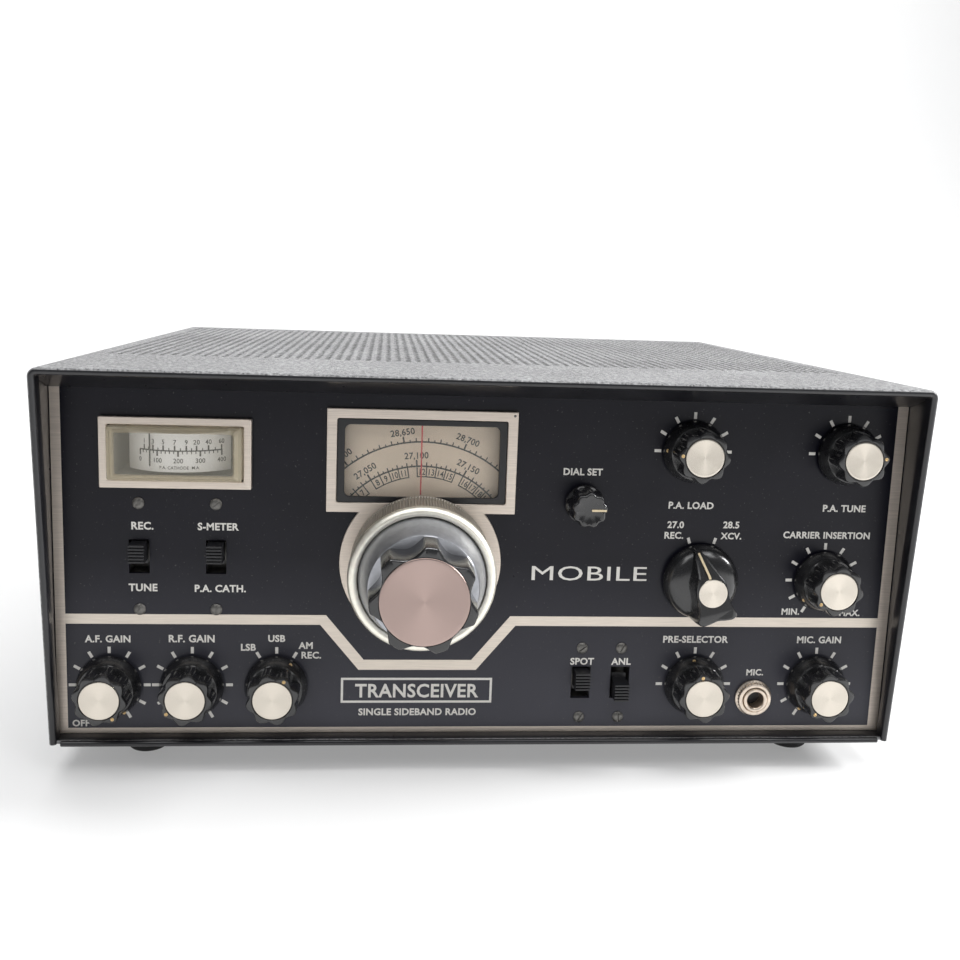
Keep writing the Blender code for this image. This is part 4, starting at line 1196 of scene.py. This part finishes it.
def smooth_closed(points, n=6):
    """Closed smooth curve through the points."""
    out = []
    m = len(points)
    for i in range(m):
        p0, p1, p2, p3 = (Vector((*points[(i + k - 1) % m], 0.0)) for k in range(4))
        for k in range(n):
            t = k / n
            q = 0.5 * (2 * p1 + (p2 - p0) * t + (2 * p0 - 5 * p1 + 4 * p2 - p3) * t * t
                       + (3 * p1 - p0 - 3 * p2 + p3) * t ** 3)
            out.append((q.x, q.y))
    return out


def make_band_knob():
    """Round skirt with a bar grip: a narrow nose that points, a waist round the cap and a flared tail."""
    body = "band_shaft"
    x, z = BAND_X, BAND_Z
    c, s = math.cos(math.radians(BAND_DEG)), math.sin(math.radians(BAND_DEG))

    def point(u, v, y):
        """A point at u along the bar, v across it and y."""
        return x + u * c - v * s, y, z + u * s + v * c

    bm = bmesh.new()
    lathe(bm, x, z, [(SHAFT_R, 10.6), (SHAFT_R, -1.0), (14.4, -1.0), (14.85, -1.2), (15.0, -1.6),
                     (14.95, -2.4), (14.6, -3.8), (13.9, -5.3), (12.9, -6.5), (11.6, -7.4),
                     (9.5, -8.2), (6.0, -8.8)], 96)
    new_object(bm, "band_skirt", BLACK, body, smooth=40)
    half = [(14.3, 0.9), (12.6, 2.1), (9.6, 3.3), (6.0, 5.0), (2.4, 6.5), (-1.6, 6.6), (-5.2, 6.6),
            (-8.6, 7.5), (-11.4, 8.3), (-13.1, 6.6), (-13.0, 3.4)]
    outline = smooth_closed([*half, (-12.4, 0.0), *[(u, -v) for u, v in reversed(half)], (14.7, 0.0)], 5)
    face_y, nose_u, nose_slope = -17.4, 6.4, 1.35
    levels = ((-3.0, 1.0), (-7.0, 0.99), (-11.0, 0.975), (-14.5, 0.95), (-16.4, 0.93), (-17.1, 0.90),
              (face_y, 0.85))
    rings = []
    for y, k in levels:
        ring = []
        for u, v in outline:
            nose_y = face_y + nose_slope * max(0.0, u * k - nose_u)
            ring.append(point(u * k, v * k, max(y, nose_y)))
        rings.append(ring)
    bm = bmesh.new()
    rings_solid(bm, rings)
    grip = new_object(bm, "band_grip", BLACK, body, smooth=32)
    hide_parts("band_knob")
    make_cap("band_cap", x, z, 5.6, -17.5, body, SPUN, 0.1)
    bm = bmesh.new()
    w, thick = 0.42, 0.5
    line = ((5.9, -17.48), (7.0, -17.0), (12.6, -9.5), (13.6, -8.1))
    rings_solid(bm, [[point(u, -w, y), point(u, w, y), point(u, w, y + thick), point(u, -w, y + thick)]
                     for u, y in line])
    new_object(bm, "band_pointer", IVORY, body)


def make_dial_set_knob():
    """Small fluted knob with an ivory line on its face."""
    body = "dial_set_shaft"
    x, z = DIAL_SET_X, DIAL_SET_Z
    grip = lobed(9, 7.35, 6.55, 8.0, 14, soft_lobe)
    skirt = ((SHAFT_R, 10.6), (SHAFT_R, -1.0), (7.35, -1.0), (7.6, -1.2), (7.6, -2.9), (7.3, -3.3))
    sides = ((-3.6, 1.0, -0.1), (-7.0, 0.985, 0.0), (-11.6, 0.95, 0.0), (-12.4, 0.94, -0.15),
             (-12.8, 0.92, -0.35), (-12.95, 0.88, -0.6))
    bm = bmesh.new()
    fluted_solid(bm, x, z, grip, skirt, sides, ((4.6, -12.6), (2.0, -12.5)))
    knob = new_object(bm, "dial_set_grip", BLACK, body, smooth=36)
    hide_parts("dial_set_knob")
    bm = bmesh.new()
    box(bm, x + 0.6, x + 6.2, -13.0, -12.3, z - 0.38, z + 0.38)
    new_object(bm, "dial_set_pointer", IVORY, body, bevel=0.1)


for knob_name, (knob_x, knob_z, knob_deg) in KNOBS.items():
    make_fluted_knob(knob_name, knob_x, knob_z, knob_deg)
make_tuning_ring()
make_fine_knob()
make_band_knob()
make_dial_set_knob()


# ---------------------------------------------------------------- slide switches
SLIDE_HALF = 2.3


def make_switch(name, x, z, up):
    """Ribbed slider in its slot, on a dark back plate."""
    bm = bmesh.new()
    zc = z + SLIDE_HALF * up
    profile = [(2.25, zc - 5.6), (2.05, zc - 5.6), (2.05, zc - 3.7)]
    ribs = 6
    low, high = zc - 3.7, zc + 3.7
    step = (high - low) / ribs
    for k in range(ribs):
        a = low + k * step
        profile += [(-5.1, a + step * 0.06), (-5.2, a + step * 0.2)]
        profile += [(-5.2, a + step * 0.5), (-5.1, a + step * 0.64)]
        if k < ribs - 1:
            profile += [(-4.4, a + step * 0.72), (-4.4, a + step * 0.94)]
    profile += [(2.05, zc + 3.7), (2.05, zc + 5.6), (2.25, zc + 5.6)]
    bar(bm, profile, (x - 2.9, x + 2.9))
    body = name + "_actuator"
    slider = new_object(bm, name + "_thumb", DARK, body, smooth=30, bevel=0.12)
    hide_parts(name + "_slider")


for switch_name, (switch_x, switch_z, switch_up) in SWITCHES.items():
    make_switch(switch_name, switch_x, switch_z, switch_up)
    paint(switch_name + "_switch", DARKSTEEL)


# ---------------------------------------------------------------- microphone jack
def make_jack():
    """Quarter-inch jack: bright bush with a rolled mouth, and a knurled ring nut."""
    bm = bmesh.new()
    profile = [(3.3, 30.0), (3.3, -2.9), (3.45, -3.3), (3.8, -3.55), (4.3, -3.6), (4.7, -3.45), (4.8, -3.1),
               (4.8, 2.2), (8.0, 2.4), (8.0, 33.0), (3.3, 33.0)]
    lathe(bm, JACK_X, JACK_Z, profile, 64, closed=True)
    jack = new_object(bm, "mic_jack_bush", JACK, smooth=40)
    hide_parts("mic_jack")
    bm = bmesh.new()
    rows = [(5.0, -0.05, 0), (7.35, -0.05, 0), (7.4, -0.3, 0), (7.4, -0.9, 0), (6.9, -1.2, 0),
            (6.75, -1.35, 1), (6.75, -2.5, 1), (6.55, -2.8, 0), (6.2, -2.95, 0),
            (5.3, -2.95, 0), (5.0, -2.7, 0)]
    knurled(bm, JACK_X, JACK_Z, rows, 32, 0.28)
    nut = new_object(bm, "mic_jack_ring", JACK, smooth=35)
    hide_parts("mic_jack_nut")
    bm = bmesh.new()
    # Painted shade: a dark disc closes the bore a little way in, standing for the shade deep in the hole.
    lathe(bm, JACK_X, JACK_Z, [(3.25, 1.5), (3.25, 1.9), (1.0, 2.2)], 32)
    new_object(bm, "mic_jack_bore_shade", DARK)


make_jack()


# ---------------------------------------------------------------- rear panel and fittings
REAR_Y = 256.9
REAR_OUT = 258.4
COAX_X, COAX_Z = 118.0, 30.0
GLAND_X, GLAND_Z = -122.0, 26.0
FUSE_X, FUSE_Z = -92.0, 28.0
STUD_X, STUD_Z = 86.0, 24.0


def threaded(bm, x, z, r, y0, y1, pitch, depth, n=48, bore=None):
    """A threaded barrel: closely spaced rounded ridges along Y, with an optional bore."""
    profile = []
    y = y0
    while y + pitch <= y1 - 0.4:
        profile += [(r - depth, y), (r, y + pitch * 0.35)]
        profile += [(r, y + pitch * 0.55), (r - depth, y + pitch * 0.9)]
        y += pitch
    profile += [(r - depth, y1 - 0.3), (r - depth - 0.3, y1)]
    if bore:
        profile += [(bore + 0.2, y1), (bore, y1 - 0.3), (bore, y0 + 1.0), (bore - 0.6, y0)]
        profile = [(bore - 0.6, y0), *profile[:-1]]
        lathe(bm, x, z, profile, n, closed=True)
    else:
        lathe(bm, x, z, profile, n)


def back_screw(name, x, z, y, r):
    """Cross-slotted pan-head screw facing the back."""
    bm = bmesh.new()
    head = [(r, y), (r, y + 0.5), (r * 0.86, y + 1.1), (r * 0.55, y + 1.45), (r * 0.2, y + 1.55)]
    lathe(bm, x, z, head, 28)
    screw = new_object(bm, name, STEEL, smooth=40)
    long, thin = r * 0.62, 0.3
    for dx, dz in ((long, thin), (thin, long)):
        cut(screw, lambda b: box(b, x - dx, x + dx, y + 0.8, y + 3.0, z - dz, z + dz))


def make_coax():
    """Aerial socket: square flange with four screws, threaded barrel, insulator and hollow centre."""
    bm = bmesh.new()
    prism(bm, rounded(COAX_X, COAX_Z, 25.0, 25.0, 1.6), REAR_OUT + 0.1, REAR_OUT + 1.9)
    flange = new_object(bm, "coax_flange", NICKEL, bevel=0.3)
    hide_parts("coax_socket")
    bm = bmesh.new()
    threaded(bm, COAX_X, COAX_Z, 7.85, REAR_OUT + 1.8, 277.1, 1.06, 0.45, bore=5.8)
    new_object(bm, "coax_barrel", NICKEL, smooth=40)
    bm = bmesh.new()
    lathe(bm, COAX_X, COAX_Z, [(5.75, 261.0), (5.75, 272.0), (5.3, 272.3), (2.6, 272.3), (2.4, 272.0),
                               (2.4, 268.0), (2.2, 268.0)], 40)
    new_object(bm, "coax_insulator", IVORY, smooth=40)
    bm = bmesh.new()
    lathe(bm, COAX_X, COAX_Z, [(2.3, 267.8), (2.3, 273.2), (2.1, 273.4), (1.75, 273.4), (1.7, 273.1),
                               (1.7, 268.4)], 32)
    new_object(bm, "coax_centre", BRASS, smooth=40)
    for k, (sx, sz) in enumerate(((-1, -1), (1, -1), (1, 1), (-1, 1))):
        back_screw(f"coax_screw_{k + 1}", COAX_X + 9.2 * sx, COAX_Z + 9.2 * sz, REAR_OUT + 1.9, 2.3)


def make_gland():
    """Strain-relief bush: a round collar, then stepped ribs that taper, with a bore for the cord."""
    y = REAR_OUT + 0.1
    bm = bmesh.new()
    profile = [(3.4, REAR_Y - 8.0), (6.0, REAR_Y - 8.0), (6.0, y), (8.4, y), (8.6, y + 0.4), (8.6, y + 1.6),
               (8.3, y + 2.1), (7.2, y + 2.2), (7.2, y + 2.9), (7.8, y + 3.0), (7.7, y + 4.1),
               (6.7, y + 4.2), (6.6, y + 4.9),
               (7.2, y + 5.0), (7.1, y + 6.1), (6.4, y + 6.9), (5.6, y + 7.1), (3.7, y + 7.1), (3.4, y + 6.8)]
    lathe(bm, GLAND_X, GLAND_Z, profile, 48, closed=True)
    gland = new_object(bm, "cord_gland", DARK, smooth=35)
    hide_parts("power_cord_gland")


def make_fuse():
    """Fuse holder: collar nut and a fluted screw cap with a coin slot."""
    y = REAR_OUT + 0.1
    bm = bmesh.new()
    lathe(bm, FUSE_X, FUSE_Z, [(6.0, REAR_Y - 30.0), (6.0, y), (7.8, y), (8.0, y + 0.3), (8.0, y + 2.5),
                               (7.7, y + 3.0), (6.0, y + 3.0)], 48)
    holder = new_object(bm, "fuse_body", DARK, smooth=35)
    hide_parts("fuse_holder")
    flutes = lobed(18, 6.6, 6.15, 0, 6, soft_lobe)
    sides = ((y + 3.4, 1.0, 0.0), (y + 10.6, 1.0, 0.0), (y + 11.5, 0.95, 0.0))
    bm = bmesh.new()
    fluted_solid(bm, FUSE_X, FUSE_Z, flutes, ((6.3, y + 2.9),), sides, ((5.4, y + 12.0), (3.0, y + 12.15)))
    cap = new_object(bm, "fuse_cap", DARK, smooth=35)
    cut(cap, lambda b: box(b, FUSE_X - 4.2, FUSE_X + 4.2, y + 11.2, y + 14.0, FUSE_Z - 0.6, FUSE_Z + 0.6))


def make_stud():
    """Ground stud: threaded rod, washer and hexagon nut."""
    y = REAR_OUT + 0.1
    bm = bmesh.new()
    threaded(bm, STUD_X, STUD_Z, 2.2, REAR_Y - 5.0, y + 12.5, 0.8, 0.25, 32)
    stud = new_object(bm, "stud_thread", BRASS, smooth=35)
    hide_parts("ground_stud")
    bm = bmesh.new()
    lathe(bm, STUD_X, STUD_Z, [(2.3, y), (5.0, y), (5.0, y + 0.7), (2.3, y + 0.7)], 40, closed=True)
    new_object(bm, "stud_washer", NICKEL, smooth=35, bevel=0.12)
    bm = bmesh.new()
    prism(bm, [spot(STUD_X, STUD_Z, 4.5, 60 * i) for i in range(6)], y + 0.75, y + 3.4)
    nut = new_object(bm, "stud_nut", BRASS, bevel=0.3)
    cut(nut, lambda b: lathe(b, STUD_X, STUD_Z, [(2.0, y - 1.0), (2.0, y + 6.0)], 32))


REAR_LEGENDS = (
    ("ANTENNA", COAX_X, 49.0),
    ("GROUND", STUD_X, 34.5),
    ("FUSE", FUSE_X, 41.5),
    ("POWER", GLAND_X, 41.5),
)


def make_rear_print():
    """Legends that read from behind, and the panel's screws."""
    bm = bmesh.new()
    for body, x, z in REAR_LEGENDS:
        def place(u, v, w, x=x, z=z):
            return x - u, REAR_OUT + 0.01 + INK_T * w, z + v
        add_text(bm, body, 3.0, place)
    new_object(bm, "rear_legends", LEGEND)
    right = ((156.0, 12.0), (156.0, 72.0), (156.0, 132.0), (52.0, 132.0))
    for k, (x, z) in enumerate([(side * x, z) for side in (-1, 1) for x, z in right]):
        back_screw(f"rear_screw_{k + 1}", x, z, REAR_OUT, 3.0)


make_coax()
make_gland()
make_fuse()
make_stud()
make_rear_print()
paint("rear_panel", REAR)


# ---------------------------------------------------------------- parts seen through the perforations
paint("chassis", ALU)
paint("oscillator_box", ALU)
for can in ("load_capacitor", "tune_capacitor", "preselector_capacitor"):
    paint(can, ALU)
for control in ("af_gain_control", "rf_gain_control", "mode_switch", "carrier_control", "band_switch",
                "mic_gain_control", "dial_set_control"):
    paint(control, STEEL)
paint("power_transformer", CORE)
paint("circuit_board", BOARD)
paint("loudspeaker", PAPER)
for tube in ("pa_tube_left", "pa_tube_right"):
    paint(tube, GLASS)


# ---------------------------------------------------------------- floor, light and camera
def make_floor():
    """A pale floor that curves up into the backdrop, in metres."""
    bm = bmesh.new()
    w, front, back, r, height = 6.0, -4.0, 2.6, 1.2, 4.0
    line = [(front, 0.0), (back - r, 0.0)]
    line += [spot(back - r, r, r, a - 90) for a in range(6, 91, 6)]
    line += [(back, height)]
    left = [bm.verts.new((-w, y, z)) for y, z in line]
    right = [bm.verts.new((w, y, z)) for y, z in line]
    for i in range(len(line) - 1):
        bm.faces.new((left[i], right[i], right[i + 1], left[i + 1]))
    mesh = bpy.data.meshes.new("studio_sweep")
    bm.to_mesh(mesh)
    bm.free()
    mesh.shade_smooth()
    floor = bpy.data.objects.new("studio_sweep", mesh)
    bpy.context.scene.collection.objects.link(floor)
    mesh.materials.append(FLOOR)


def add_area(name, place, target, size, power):
    """A rectangular lamp at place, aimed at target, in metres and watts."""
    data = bpy.data.lights.new(name, "AREA")
    data.shape = "RECTANGLE"
    data.size, data.size_y = size
    data.energy = power
    lamp = bpy.data.objects.new(name, data)
    bpy.context.scene.collection.objects.link(lamp)
    lamp.location = place
    aim = Vector(target) - Vector(place)
    lamp.rotation_euler = aim.to_track_quat("-Z", "Y").to_euler()


def make_world(strength):
    """A faint, slightly cool light from all round."""
    world = bpy.data.worlds.new("soft_room")
    world.use_nodes = True
    back = world.node_tree.nodes["Background"]
    back.inputs["Color"].default_value = (0.95, 0.97, 1.0, 1.0)
    back.inputs["Strength"].default_value = strength
    bpy.context.scene.world = world


LIGHTS = (
    ("key_right", (1.9, -0.2, 1.05), (0.0, 0.0, 0.05), (0.6, 0.6), 72.0),
    ("top_soft", (0.0, -0.25, 1.9), (0.0, -0.1, 0.0), (2.4, 2.2), 34.0),
    ("strip_left", (-0.75, -1.05, 1.3), (0.0, -0.1, 0.05), (0.4, 0.7), 1.6),
    ("strip_right", (0.8, -1.05, 1.3), (0.0, -0.1, 0.05), (0.4, 0.7), 3.0),
    ("backdrop_wash", (0.0, 0.9, 2.6), (0.0, 2.6, 0.9), (3.0, 0.8), 60.0),
)
WORLD_STRENGTH = 0.2
CAMERA_POINT = (-40.8, -366.1, 179.4)
CAMERA_YAW, CAMERA_PITCH, CAMERA_ROLL = 0.0838, 0.1457, 0.0343
CAMERA_FOCAL = 36.73
CAMERA_SHIFT = (0.01346, -0.0587)


def make_camera():
    """The photograph's viewpoint, solved from the cabinet's corners and its rows of controls."""
    data = bpy.data.cameras.new("photo_view")
    data.sensor_width = 36.0
    data.lens = CAMERA_FOCAL
    data.shift_x, data.shift_y = CAMERA_SHIFT
    data.clip_start = 0.02
    data.clip_end = 50.0
    cam = bpy.data.objects.new("photo_view", data)
    bpy.context.scene.collection.objects.link(cam)
    yaw, pitch, roll = CAMERA_YAW, CAMERA_PITCH, CAMERA_ROLL
    ahead = Vector((math.sin(yaw) * math.cos(pitch), math.cos(yaw) * math.cos(pitch), -math.sin(pitch)))
    side = Vector((math.cos(yaw), -math.sin(yaw), 0.0))
    up = side.cross(ahead)
    right = math.cos(roll) * side + math.sin(roll) * up
    over = -math.sin(roll) * side + math.cos(roll) * up
    turn = Matrix((right, over, -ahead)).transposed()
    cam.matrix_world = Matrix.Translation(at(*CAMERA_POINT)) @ turn.to_4x4()
    bpy.context.scene.camera = cam


make_floor()
for light in LIGHTS:
    add_area(*light)
make_world(WORLD_STRENGTH)
make_camera()
bpy.context.scene.view_settings.view_transform = "Standard"
